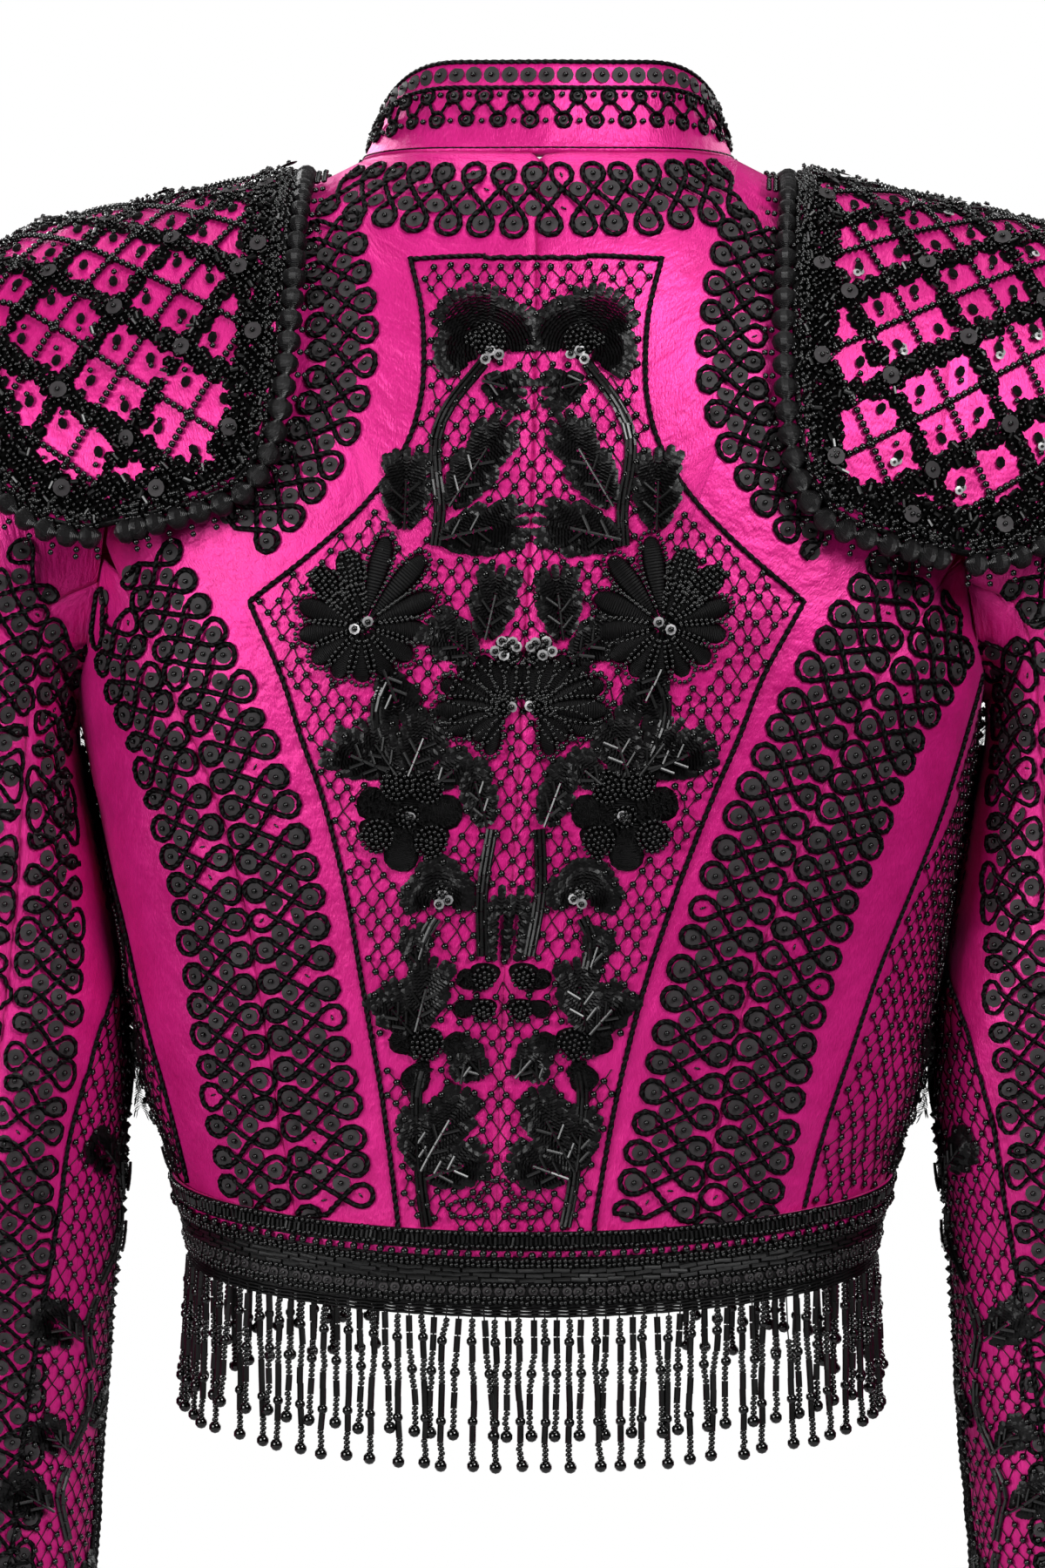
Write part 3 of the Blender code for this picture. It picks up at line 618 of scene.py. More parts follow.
def sewn(p, n, edges):
    """Lets the sewn edges of a grid sink in. Edges are named by (axis, end)."""
    dip = np.zeros(p.shape[:2])
    for axis, end in edges:
        d = np.cumsum(np.linalg.norm(np.diff(p, axis=axis), axis=-1), axis=axis)
        zero = np.zeros_like(np.take(d, [0], axis=axis))
        d = np.concatenate([zero, d], axis=axis)
        if end:
            d = np.take(d, [-1], axis=axis) - d
        dip = np.maximum(dip, np.exp(-((d / 1.5) ** 2)))
    return p - n * (SEAM_DIP * dip)[..., None]


# %% A sheet of cloth from a grid of points
skins = {}


def alone():
    bpy.ops.object.select_all(action="DESELECT")


def pick(o):
    alone()
    o.select_set(True)
    bpy.context.view_layer.objects.active = o


def edit(o, *steps):
    """Runs edit-mode steps on the whole of one object."""
    pick(o)
    bpy.ops.object.mode_set(mode="EDIT")
    bpy.ops.mesh.select_all(action="SELECT")
    for step in steps:
        step()
    bpy.ops.object.mode_set(mode="OBJECT")


def modifier(o, kind, **settings):
    pick(o)
    m = o.modifiers.new(kind.lower(), kind)
    for key, value in settings.items():
        setattr(m, key, value)
    bpy.ops.object.modifier_apply(modifier=m.name)


def dress(o, slot_name, *nodes):
    """Every piece rides on the one body and may stand for solids; its finish slot is not used."""
    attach(o, "root")
    if nodes:
        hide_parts(*nodes)
    return o


def cloth(name, p, n, skin):
    """A grid primitive carried onto the points p, outside along n, with a thin inner side."""
    rows, cols = p.shape[:2]
    alone()
    bpy.ops.mesh.primitive_grid_add(x_subdivisions=cols - 1, y_subdivisions=rows - 1, size=1)
    o = bpy.context.object
    o.name = o.data.name = name
    o.data.vertices.foreach_set("co", (lean(p) / 1000).ravel())
    wide = np.linalg.norm(np.diff(p, axis=1), axis=-1).sum(1).mean() / 1000
    long = np.linalg.norm(np.diff(p, axis=0), axis=-1).sum(0).mean() / 1000
    uv = np.empty(len(o.data.loops) * 2)
    o.data.uv_layers[0].data.foreach_get("uv", uv)
    o.data.uv_layers[0].data.foreach_set("uv", (uv.reshape(-1, 2) * (wide, long)).ravel())
    o.data.update()
    middle = o.data.polygons[len(o.data.polygons) // 2]
    r, c = divmod(len(o.data.polygons) // 2, cols - 1)
    if middle.normal.dot(Vector(n[r, c])) < 0:
        o.data.flip_normals()
    skins.setdefault(skin, []).append(o)
    o.data.materials.append(magenta)
    o.data.materials.append(lining)
    return o


def finish_cloth(o):
    modifier(o, "SOLIDIFY", thickness=SHOWN_CLOTH / 1000, offset=-1, material_offset=1)
    o.data.shade_smooth()


# %% Body panels
FINER, FRONT_FINER = 4, 3


def body_grid(name, grid, edges):
    grid = regrid(grid)
    p, n = torso(grid[..., 0], grid[..., 1]), torso_normal(grid[..., 0], grid[..., 1])
    p = sewn(p + n * (crease(p) + under_flowers(p))[..., None], n, edges)
    return cloth(name, p, n, "body")


def counts(*parts, finer=FINER):
    return [finer * (c - 1) + 1 for c in parts]


panels = []
for side, word in SIDES:
    seam, hole = counts(14, 7)
    cols_neck, cols_shoulder = counts(5, 8)
    top = join(along(neck(side, False), cols_neck), along(shoulder(side, False, True), cols_shoulder))
    left = along(middle_back(), seam + hole - 1)
    right = join(along(princess(side), seam), along(armhole_edge(side, False, -155, -31), hole))
    top[0], top[-1] = left[-1], right[-1]
    grid = patch(hem_edge(left[0, 0], right[0, 0], len(top)), top, left, right)
    panels.append(body_grid(f"back_{word}_satin", grid, ((1, 0), (1, 1))))

    seam, cols_under = counts(14, 9, finer=FRONT_FINER)
    left, right = along(princess(side), seam), along(front_seam(side), seam)
    low = join(armhole_edge(side, False, -155, -206, 24), armhole_edge(side, True, -206, -188, 12))
    top = along(low, cols_under)
    left[-1], right[-1] = top[0], top[-1]
    grid = patch(hem_edge(left[0, 0], right[0, 0], len(top)), top, left, right)
    panels.append(body_grid(f"side_back_{word}_satin", grid, ((1, 0), (1, 1))))

    seam, hole, cols_shoulder, cols_neck = counts(14, 6, 6, 5, finer=FRONT_FINER)
    top = join(along(shoulder(side, True, False), cols_shoulder), along(neck(side, True), cols_neck))
    left = join(along(front_seam(side), seam), along(armhole_edge(side, True, -188, -31), hole))
    right = along(front_edge(side), seam + hole - 1)
    left[-1], right[-1] = top[0], top[-1]
    grid = patch(hem_edge(left[0, 0], right[0, 0], len(top)), top, left, right)
    panels.append(body_grid(f"front_{word}_satin", grid, ((1, 0),)))
print("body panels:", [(o.name, len(o.data.vertices)) for o in panels])

# %% [markdown]
# ### Collar
# The stand collar is a strip sewn to the neck edge. It leans in towards the neck and is lower at
# the two front ends.
# %% Collar
half_neck = join(neck(1, False), neck(1, True))
NECK_LINE = torso(*join(half_neck[::-1] * (-1, 1), half_neck).T)
neck_steps = walked(NECK_LINE)
COLLAR_BASE = read_at(np.linspace(0, neck_steps[-1], 241), neck_steps, NECK_LINE)


def collar_point(u, v):
    """A point of the collar: u from the right front end 0 to the left 1, v up the cloth."""
    base = COLLAR_BASE
    t = np.gradient(base, axis=0)
    out = unit(np.stack([t[:, 1], -t[:, 0], np.zeros(len(t))], -1))
    out *= np.sign(np.sum(out * (base - [0, RIDGE_Y, 0]), 1, keepdims=True))
    front = np.clip((-base[:, 2]) / 62, 0, 1)[:, None]
    turned = np.clip((52 - base[:, 1]) / 48, 0, 1)[:, None]
    high = COLLAR_HEIGHT + (COLLAR_SIDE - COLLAR_HEIGHT) * turned * turned * (3 - 2 * turned)
    up = np.array([0, 0, 1.0]) * high + np.array([0, 0.3, 0]) * high * front
    u, v = np.broadcast_arrays(np.asarray(u, float), np.asarray(v, float))
    at = u * (len(base) - 1)

    base, up, out = (read_at(at, np.arange(len(base)), a) for a in (base, up, out))
    v = v[..., None]
    lean_in = COLLAR_LEAN * np.maximum(v, 0) ** 0.8
    return base + up * (v + 0.028) - out * lean_in, out


COLLAR_TUCK = 20
COLLAR_ROWS = (-0.08, -0.03, 0, 0.03, 0.06, *np.linspace(0.1, 1, 12))
u, v = np.meshgrid(np.linspace(0, 1, 101), COLLAR_ROWS)
p, n = collar_point(u, v)
p = p + n * (waves(p, 21, (14, 40)) * 0.35 * np.sin(np.maximum(v, 0) * math.pi))[..., None]
tucked = p - n * (COLLAR_TUCK * np.maximum(-v, 0))[..., None]
collar = cloth("collar_satin", sewn(tucked, n, ((0, 0),)), n, "collar")
print("collar:", tuple(round(d * 1000) for d in collar.dimensions))

# %% [markdown]
# ### Sleeves
# A matador's sleeve is cut in two pieces, upper and under, and bends a little at the elbow. Soft
# folds gather inside the elbow and under the arm.
# %% Sleeve sections
SLEEVE = table(
    (171, -31, 180.5, -206, 58, -5, 121), (192, -38, 183, -208, 60, -5, 123),
    (214, -52, 184, -211, 61, -5, 124), (233, -76, 184, -216, 61, -5, 125),
    (247, -108, 184, -224, 60, -5, 125), (256, -150, 182, -238, 58.5, -5, 124),
    (262, -200, 178, -258, 57, -5, 119), (265, -255, 171.5, -290, 55, -6, 111),
    (266, -310, 164.5, -326, 53, -7, 102), (266, -352, 162.5, -360, 51, -9, 95),
    (266, -410, 167, -412, 48, -14, 89), (265, -470, 172, -470, 45, -20, 86),
    (263, -540, 177.5, -538, 42, -27, 83), (262, -603, 181, -599, 40, -33, 81),
)
SLEEVE_FRONT_SEAM = 250.0
SLEEVE_ROWS = len(SLEEVE) - 1
ARMHOLE_GAP = 1.2
SECTIONS = np.column_stack([np.arange(len(SLEEVE)), SLEEVE])


def armhole_loop(turn):
    low, top = ARMHOLE[-1, 0], ARMHOLE[0, 0]
    z = (low + top) / 2 + (top - low) / 2 * np.cos(np.radians(turn))
    front = np.sin(np.radians(turn)) < 0
    a = np.where(front, 180 - smooth(ARMHOLE, z, 2), smooth(ARMHOLE, z, 1))
    x = torso(a, np.zeros_like(a))[..., 0]
    return torso(a, length_of(x, np.minimum(z, smooth(RIDGE, x)), front))


def sleeve_point(row, turn):
    """A point of the left sleeve: turn 0 is outermost, 90 the back, 180 against the body."""
    row, turn = np.broadcast_arrays(np.asarray(row, float), np.asarray(turn, float))
    tx, tz, bx, bz, deep, my = (smooth(SECTIONS, row, i) for i in range(1, 7))
    c, s = np.cos(np.radians(turn)), np.sin(np.radians(turn))
    x, z = (tx + bx) / 2 + (tx - bx) / 2 * c, (tz + bz) / 2 + (tz - bz) / 2 * c
    p = np.stack([x, my + deep * power(s, 0.92), z], -1)
    w = np.clip(row / 1.6, 0, 1)
    w = (w * w * (3 - 2 * w))[..., None]
    return (armhole_loop(turn) + np.array([ARMHOLE_GAP, 0, 0])) * (1 - w) + p * w


def sleeve_normal(row, turn):
    r0, r1 = np.clip(row - 0.05, 0, SLEEVE_ROWS), np.clip(row + 0.05, 0, SLEEVE_ROWS)
    across = sleeve_point(row, turn + 1) - sleeve_point(row, turn - 1)
    return unit(np.cross(sleeve_point(r1, turn) - sleeve_point(r0, turn), across))


def sleeve_back(row):
    return smooth(SECTIONS, row, 7)


def sleeve_crease(p, turn):
    """Folds of the sleeve: short ones inside the elbow and under the arm, long ones below."""
    z = p[..., 2]
    inside = 0.5 - 0.5 * np.cos(np.radians(turn))
    elbow, arm = rise(z, -345, 48) * inside, rise(z, -240, 30) * inside
    low = np.clip((-z - 360) / 120, 0, 1)
    large = waves(p, 31, (40, 80)) * (0.6 + 1.5 * elbow + 1.2 * arm + 0.5 * low)
    small = waves(p, 33, (14, 30)) * (0.3 + 0.5 * elbow + 0.3 * low)
    full = (2.4 * rise(z, -285, 55) + 2.2 * rise(z, -214, 26)) * inside**6
    return (large + small) * np.clip((-z - 60) / 40, 0, 1) + full


# %% Sleeve pieces
sleeves = []
SLEEVE_GRID = (88, 31, 20)
for side, word in SIDES:
    mirror = np.array([side, 1, 1])
    rows = np.linspace(0, SLEEVE_ROWS, SLEEVE_GRID[0])[:, None]
    back = sleeve_back(rows)
    spans = (
        ("upper", SLEEVE_FRONT_SEAM - 360 + 0 * back, back, SLEEVE_GRID[1]),
        ("under", back, SLEEVE_FRONT_SEAM + 0 * back, SLEEVE_GRID[2]),
    )
    for part, a, b, cols in spans:
        turn = a + (b - a) * np.linspace(0, 1, cols)[None, :]
        grid = regrid(np.stack([np.broadcast_to(rows, turn.shape), turn], -1))
        row, turn = grid[..., 0], grid[..., 1]
        p, n = sleeve_point(row, turn), sleeve_normal(row, turn)
        p = p + n * (CLOTH + sleeve_crease(p * mirror, turn))[..., None]
        p = sewn(p, n, ((1, 0), (1, 1)))
        o = cloth(f"sleeve_{part}_{word}_satin", p * mirror, n * mirror, f"sleeve_{word}")
        sleeves.append(o)
print("sleeve pieces:", [(o.name, len(o.data.vertices)) for o in sleeves])

# %% [markdown]
# ### Shoulder pieces
# Each hombrera is a stiff domed tongue of padded satin that lies over the shoulder and the head
# of the sleeve. It is made as one round grid between its middle and its outline.
# %% Shoulder pieces
FLAP_THICK, FLAP_X, FLAP_HALF, FLAP_LONG = 4.0, 165.0, 65.0, 184.0
FLAP_SQUARE_IN, FLAP_SQUARE_OUT, FLAP_DOME, FLAP_FRONT_SQUARE = 6.6, 4.5, 3.0, 2.1
FLAP_LOW = -175.0
FLAP_SLIDE = {"left": 0.0, "right": 10.0}
FLAP_RIDGE = table(
    (90, 1), (100, -1), (124, -8), (160, -17), (190, -23), (207, -28), (225, -41), (233, -54), (242, -76)
)
FLAP_DROP = table(
    (94, 4), (124, 6), (146, 5), (172, 5), (191, 12), (205, 22), (215, 32), (225, 44), (235, 57)
)
FLAP_DEPTH = table(
    (90, 107, 127), (100, 105, 125), (130, 98, 116), (160, 90, 103), (190, 82, 90),
    (215, 75, 80), (233, 66, 69), (242, 58, 60),
)


def flap_point(x, c, lift=0.0):
    """A point of the shoulder piece: x from the middle, c along the cloth from the ridge."""
    x, c = np.broadcast_arrays(np.asarray(x, float), np.asarray(c, float))
    top = smooth(FLAP_RIDGE, x) + lift - FLAP_LOW
    deep = np.where(c >= 0, smooth(FLAP_DEPTH, x, 1), smooth(FLAP_DEPTH, x, 2)) + lift
    square = np.where(c >= 0, ARCH_SQUARE, FLAP_FRONT_SQUARE) / 2
    long = (top + deep) * 0.86
    a = np.clip(1 - np.abs(c) / long, -0.2, 1)
    t = np.clip(a, 0, 1) ** square * math.pi / 2
    z = FLAP_LOW + top * np.sin(t) ** (1 / square) + np.minimum(a, 0) * long
    y = RIDGE_Y + np.sign(c) * deep * np.abs(np.cos(t)) ** (1 / square)
    return np.stack([x, y, z], -1)


def flap_length(x):
    """Half the length of a shoulder piece along the cloth, from the ridge to its end."""
    return FLAP_LONG - (smooth(FLAP_RIDGE, FLAP_X) - smooth(FLAP_RIDGE, x)) - smooth(FLAP_DROP, x)


def flap_outline(turn, grow=0.0):
    c, s = np.cos(np.radians(turn)), np.sin(np.radians(turn))
    e = 2 / np.where(c > 0, FLAP_SQUARE_OUT, FLAP_SQUARE_IN)
    x = FLAP_X + (FLAP_HALF + grow) * power(c, e)
    return x, (flap_length(x) + grow) * power(s, e)


def flap_normal(x, c):
    across = flap_point(x + 1.0, c) - flap_point(x - 1.0, c)
    return unit(np.cross(across, flap_point(x, c + 2.0) - flap_point(x, c - 2.0)))


def even_turns(count, grow=0.0):
    """Turns that space points evenly along the outline, and its length."""
    t = np.linspace(0, 360, 1441)
    d = walked(flap_point(*flap_outline(t, grow)))
    return np.interp(np.linspace(0, d[-1], count + 1)[:-1], d, t), d[-1]


def flap_skin(x, c, f, slide):
    """The padded top of a shoulder piece at the share f of the way out to its outline."""
    n = flap_normal(x, c + slide)
    return flap_point(x, c + slide) + n * (FLAP_DOME * (1 - f**2))[..., None], n


def flap_share(x, c):
    """How far out a point lies between the middle and the outline, from 0 to 1."""
    u = np.abs(x - FLAP_X) / FLAP_HALF
    w = np.abs(c) / flap_length(x)
    square = np.where(np.asarray(x) > FLAP_X, FLAP_SQUARE_OUT, FLAP_SQUARE_IN)
    return (u**square + w**square) ** (1 / square)


SPOKES, FLAP_RINGS = 128, 16
flaps = {}
turns, around = even_turns(SPOKES)
turns = np.append(turns, turns[0] + 360)
for side, word in SIDES:
    mirror = np.array([side, 1, 1])
    ex, ec = flap_outline(turns)
    f = np.linspace(0.001, 1, FLAP_RINGS)[:, None] ** 0.9
    x, c = FLAP_X + (ex - FLAP_X) * f, ec * f
    p, n = flap_skin(x, c, np.broadcast_to(f, x.shape), FLAP_SLIDE[word])
    o = cloth(f"hombrera_{word}_pad", p * mirror, n * mirror, f"flap_{word}")
    edit(o, lambda: bpy.ops.mesh.remove_doubles(threshold=0.0006))
    flaps[word] = o
print("outline of a shoulder piece:", round(around), "mm")

# %% [markdown]
# ## Small parts that repeat
# A sequin, a seed bead, a bugle bead and a few others are each modelled once. Thousands of copies
# are then laid with sums on arrays and joined into one mesh for each kind of work, because
# thousands of separate objects would be slow to draw and to handle.
# %% One of each
def taken(o):
    """The points, triangles and map of a finished model, which is then removed."""
    edit(o, lambda: bpy.ops.mesh.quads_convert_to_tris())
    mesh = o.data
    points = np.empty(len(mesh.vertices) * 3)
    mesh.vertices.foreach_get("co", points)
    faces = np.empty(len(mesh.loops), int)
    mesh.loops.foreach_get("vertex_index", faces)
    uv = np.zeros(len(mesh.loops) * 2)
    if mesh.uv_layers:
        mesh.uv_layers[0].data.foreach_get("uv", uv)
    bpy.data.objects.remove(o)
    return points.reshape(-1, 3), faces.reshape(-1, 3), uv.reshape(-1, 2)


def disc(sides, rise, back="TRIFAN"):
    """A sequin of radius 1: a thin lens with a sharp rim, higher in the middle by rise."""
    bpy.ops.mesh.primitive_cone_add(vertices=sides, radius1=1, depth=rise, end_fill_type=back)
    return taken(bpy.context.object)


def chip():
    """A seed bead of the crusted ground, in as few faces as still look round."""
    bpy.ops.mesh.primitive_cone_add(vertices=5, radius1=1.08, depth=1.8, end_fill_type="TRIFAN")
    o = bpy.context.object
    for v in o.data.vertices:
        if math.hypot(v.co.x, v.co.y) > 0.5:
            v.co.z = 0
    return taken(o)


def work_on(o, kind, chosen, step):
    """Runs an edit-mode step on the points or edges of a model that pass a test."""
    bpy.ops.object.mode_set(mode="EDIT")
    bpy.ops.mesh.select_mode(type=kind)
    bpy.ops.mesh.select_all(action="DESELECT")
    bpy.ops.object.mode_set(mode="OBJECT")
    for part in o.data.vertices if kind == "VERT" else o.data.edges:
        part.select = chosen(part)
    bpy.ops.object.mode_set(mode="EDIT")
    step()
    bpy.ops.object.mode_set(mode="OBJECT")


def bead(flat, sewn=False):
    """A seed bead; one that is sewn down needs no face against the cloth."""
    bpy.ops.mesh.primitive_ico_sphere_add(subdivisions=1, radius=1)
    bpy.ops.transform.resize(value=(1, 1, flat))
    bpy.ops.object.transform_apply(location=False, rotation=False, scale=True)
    o = bpy.context.object
    if sewn:
        lowest = min(o.data.vertices, key=lambda v: v.co.z).index
        work_on(o, "VERT", lambda v: v.index == lowest, lambda: bpy.ops.mesh.delete(type="VERT"))
    return taken(o)


def patch_of_thread():
    """A flat six-sided patch of dark thread, the ground under crusted beads."""
    bpy.ops.mesh.primitive_circle_add(vertices=6, radius=1, fill_type="NGON")
    return taken(bpy.context.object)


def pearl():
    bpy.ops.mesh.primitive_uv_sphere_add(segments=7, ring_count=5, radius=1)
    return taken(bpy.context.object)


def bugle():
    """A cut glass tube along z, one long and one thick."""
    bpy.ops.mesh.primitive_cylinder_add(vertices=6, radius=0.5, depth=1)
    return taken(bpy.context.object)


def petal():
    """A lobe of padded satin stitch along y from 0 to 1, half as wide, domed on its upper side."""
    bpy.ops.mesh.primitive_uv_sphere_add(segments=8, ring_count=8, radius=0.5)
    o = bpy.context.object
    edit(
        o, lambda: bpy.ops.transform.rotate(value=math.pi / 2, orient_axis="X", center_override=(0, 0, 0)),
        lambda: bpy.ops.transform.translate(value=(0, 0.5, 0)),
    )
    for v in o.data.vertices:
        v.co.x *= 0.42 + 1.05 * v.co.y
        v.co.z *= 1.0 if v.co.z > 0 else 0.25
    return taken(o)


def roll():
    """A short silk-wrapped roll along z, one long and one thick, full in the middle."""
    bpy.ops.mesh.primitive_cylinder_add(vertices=12, radius=0.5, depth=1.0)
    o = bpy.context.object
    o.data.shade_smooth()

    def runs_along(edge):
        a, b = (o.data.vertices[i].co.z for i in edge.vertices)
        return abs(a - b) > 0.5

    work_on(o, "EDGE", runs_along, lambda: bpy.ops.mesh.subdivide(number_cuts=3))
    for v in o.data.vertices:
        full = math.sqrt(max(1 - (2 * v.co.z) ** 2 * 0.92, 0))
        v.co.x *= full
        v.co.y *= full
    return taken(o)


SEQUIN = disc(11, 0.05, "NOTHING")
SMALL_SEQUIN = disc(8, 0.10)
SCALE = disc(6, 0.14)
CHIP = chip()
SEED, SEWN_SEED = bead(0.82), bead(0.82, True)
GROUND = patch_of_thread()
PEARL = pearl()
BUGLE = bugle()
PETAL = petal()
ROLL = roll()
for word, model in (("sequin", SEQUIN), ("seed", SEED), ("bugle", BUGLE), ("petal", PETAL), ("roll", ROLL)):
    print(word, "triangles:", len(model[1]))


# %% Heaps of copies
class Heap:
    """Copies of small shapes, lengths of cord and threads that end up in one mesh."""

    def __init__(self):
        self.points, self.faces, self.maps, self.count = [], [], [], 0

    def add(self, points, faces, uv):
        self.points.append(points)
        self.faces.append(faces + self.count)
        self.maps.append(uv)
        self.count += len(points)

    def copies(self, model, places, axes, sizes):
        """One copy at each place; axes hold the copy's x, y and z directions in columns."""
        points, faces, uv = model
        if not len(places):
            return
        sizes = np.broadcast_to(np.asarray(sizes, float), (len(places), 3))
        turned = np.einsum("nij,nkj->nki", axes, points[None] * sizes[:, None])
        all_points = (turned + places[:, None]).reshape(-1, 3)
        shift = np.arange(len(places))[:, None, None] * len(points)
        self.add(all_points, (faces[None] + shift).reshape(-1, 3), np.tile(uv, (len(places), 1)))

    def sew(self, places, normals, sizes):
        """A sewn-down seed bead at each place."""
        self.copies(SEWN_SEED, places, frames_on(normals), sizes)

    def make(self, name, finish, nodes=(), slot_name=None, is_smooth=None):
        """One mesh of all that was gathered; silk is smooth and cut glass and sequins are not."""
        if not self.points:
            return
        slot_name = slot_name or ("silk_thread" if finish in SILKS else "glass_beads")
        is_smooth = finish not in CUT_OR_FLAT if is_smooth is None else is_smooth
        mesh = bpy.data.meshes.new(name)
        points = np.concatenate(self.points)
        loops = np.concatenate([f.ravel() for f in self.faces])
        sizes = np.concatenate([np.full(len(f), f.shape[1]) for f in self.faces])
        mesh.vertices.add(len(points))
        mesh.vertices.foreach_set("co", (points / 1000).ravel())
        mesh.loops.add(len(loops))
        mesh.loops.foreach_set("vertex_index", loops)
        mesh.polygons.add(len(sizes))
        mesh.polygons.foreach_set("loop_start", np.concatenate([[0], np.cumsum(sizes)[:-1]]))
        mesh.polygons.foreach_set("use_smooth", np.full(len(sizes), is_smooth))
        mesh.uv_layers.new(name="UVMap").data.foreach_set("uv", np.concatenate(self.maps).ravel())
        mesh.update(calc_edges=True)
        mesh.materials.append(finish)
        o = bpy.data.objects.new(name, mesh)
        bpy.context.scene.collection.objects.link(o)
        dress(o, slot_name, *nodes)
        print(name, "triangles:", int((sizes - 2).sum()))


def frames_on(normals, along_it=None, turn=None):
    """Axes with z along each normal, y as near as can be to a direction."""
    z = unit(normals)
    y = np.broadcast_to((0.0, 0.0, -1.0), z.shape) if along_it is None else along_it
    x = np.cross(y, z)
    weak = np.linalg.norm(x, axis=1) < 1e-3
    x[weak] = np.cross((1.0, 0.3, 0.0), z[weak])
    x = unit(x)
    y = np.cross(z, x)
    if turn is not None:
        c, s = np.cos(turn)[:, None], np.sin(turn)[:, None]
        x, y = x * c + y * s, y * c - x * s
    return np.stack([x, y, z], -1)


def tipped(n, draw, amount):
    """Directions that lean a little at random."""
    return unit(n + draw.normal(size=n.shape) * amount)


def any_way_round(normals, draw):
    return frames_on(normals, turn=draw.uniform(0, 6.3, len(normals)))


def pointing(along_it):
    """Axes with z along each direction, for tubes and rolls."""
    return frames_on(along_it, np.broadcast_to((0.31, 0.52, 0.79), along_it.shape))


# %% [markdown]
# ### Cords that follow the cloth
# A cord is a tube with a twisted section: two lobes that wind round as it runs. Its path is drawn
# on the flat, carried to the cloth, and lifted where one strand crosses another.
# %% Cord and thread meshes
def resample(path, step):
    """The same line with its points evenly spaced, about one step apart."""
    d = walked(path)
    return read_at(np.linspace(0, d[-1], max(int(round(d[-1] / step)), 1) + 1), d, path)


TWIST, LOBES = 3.4, 0.2


def lay_cord(heap, path, normals, radius=1.0, sides=4):
    """A twisted cord with closed ends, whose middle line is the path."""
    t = unit(np.gradient(path, axis=0))
    b = unit(np.cross(t, normals))
    n = np.cross(b, t)
    d = walked(path)
    a = np.arange(sides) * 2 * math.pi / sides
    r = radius * (1 + LOBES * np.cos(2 * (a[None] - d[:, None] * math.pi / TWIST)))
    ring = path[:, None] + r[..., None] * (
        np.cos(a)[None, :, None] * b[:, None] + np.sin(a)[None, :, None] * n[:, None]
    )
    rows, i = len(path), np.arange(sides)
    k = (np.arange(rows - 1) * sides)[:, None]
    j = (i + 1) % sides
    faces = np.stack([k + i, k + sides + i, k + sides + j, k + j], -1)[..., ::-1].reshape(-1, 4)
    rungs = (rows - 1, sides)
    u0, u1 = (np.broadcast_to(u / sides, rungs) for u in (i, i + 1))
    v0, v1 = (np.broadcast_to(v[:, None] / 1000, rungs) for v in (d[:-1], d[1:]))
    uv = np.stack([u1, v0, u1, v1, u0, v1, u0, v0], -1).reshape(-1, 2)
    heap.add(ring.reshape(-1, 3), faces, uv)
    for end, order in ((ring[0], 1), (ring[-1], -1)):
        tip = np.concatenate([end, end.mean(0, keepdims=True)])
        fan = np.stack([i, np.full(sides, sides), j], -1)[:, ::order]
        heap.add(tip, fan, np.zeros((sides * 3, 2)))


def lay_threads(heap, starts, ends, normals, radius):
    """Straight threads between pairs of points: a ridge with no face against the cloth."""
    t = unit(ends - starts)
    b = unit(np.cross(t, normals))
    n = np.cross(b, t)
    corners = [n * radius, (b - 0.4 * n) * radius, (-b - 0.4 * n) * radius]
    points = np.stack([starts + c for c in corners] + [ends + c for c in corners], 1)
    faces = np.array([(0, 1, 4), (0, 4, 3), (2, 0, 3), (2, 3, 5)])
    shift = np.arange(len(starts))[:, None, None] * 6
    uv = np.zeros((len(starts) * 12, 2))
    heap.add(points.reshape(-1, 3), (faces[None] + shift).reshape(-1, 3), uv)


# %% Ways down to the cloth
FAR_BEHIND = 400.0


class Skin:
    """The outer face of some finished cloth, in millimetres, that trimmings are laid on."""

    def __init__(self, objects):
        points, faces, count = [], [], 0
        for o in objects:
            points.extend(v.co * 1000 for v in o.data.vertices)
            faces.extend([i + count for i in f.vertices] for f in o.data.polygons)
            count += len(o.data.vertices)
        self.tree = BVHTree.FromPolygons(points, faces)

    def near(self, points):
        """The nearest point of the cloth to each point, and its outward direction."""
        hits = [self.tree.find_nearest(Vector(p)) for p in points]
        at, out = np.array([h[0] for h in hits]), np.array([h[1] for h in hits])
        return at.reshape(-1, 3), out.reshape(-1, 3)

    def behind(self, xz):
        """The point of the back of the cloth at each (x, z)."""
        hits = [self.tree.ray_cast(Vector((x, FAR_BEHIND, z)), Vector((0, -1, 0))) for x, z in xz]
        good = np.array([h[0] is not None for h in hits], bool)
        at = np.array([h[0] if h[0] is not None else (0, 0, 0) for h in hits], float)
        out = np.array([h[1] if h[0] is not None else (0, 1, 0) for h in hits], float)
        return at.reshape(-1, 3), out.reshape(-1, 3), good


skin = {name: Skin(objects) for name, objects in skins.items()}
print("skins:", sorted(skin))

# %% [markdown]
# ## Looped bands
# The borders are one long cord that zigzags from side to side and makes a round loop at each
# turn, where it crosses itself. A flat sequin with a bead in its middle fills each loop, and
# smaller ones fill the pockets between. Drawing one repeat on the flat and walking it along a
# guide line gives every band, on the back, the neck, the fronts and the sleeves.
# %% One repeat of the band
BAND_PITCH = 12.0
BAND_ROOT = 3.5
BAND_CORD = 1.06
LOOP_SEQUIN, POCKET_SEQUIN = 10.2, 3.9
LOOP = table(
    (0, 0), (2.0, 1.6), (4.1, 3.3), (6.6, 4.35), (9.3, 4.2), (11.4, 2.5), (12.1, 0),
    (11.4, -2.5), (9.3, -4.2), (6.6, -4.35), (4.1, -3.3), (2.0, -1.6), (0, 0),
)


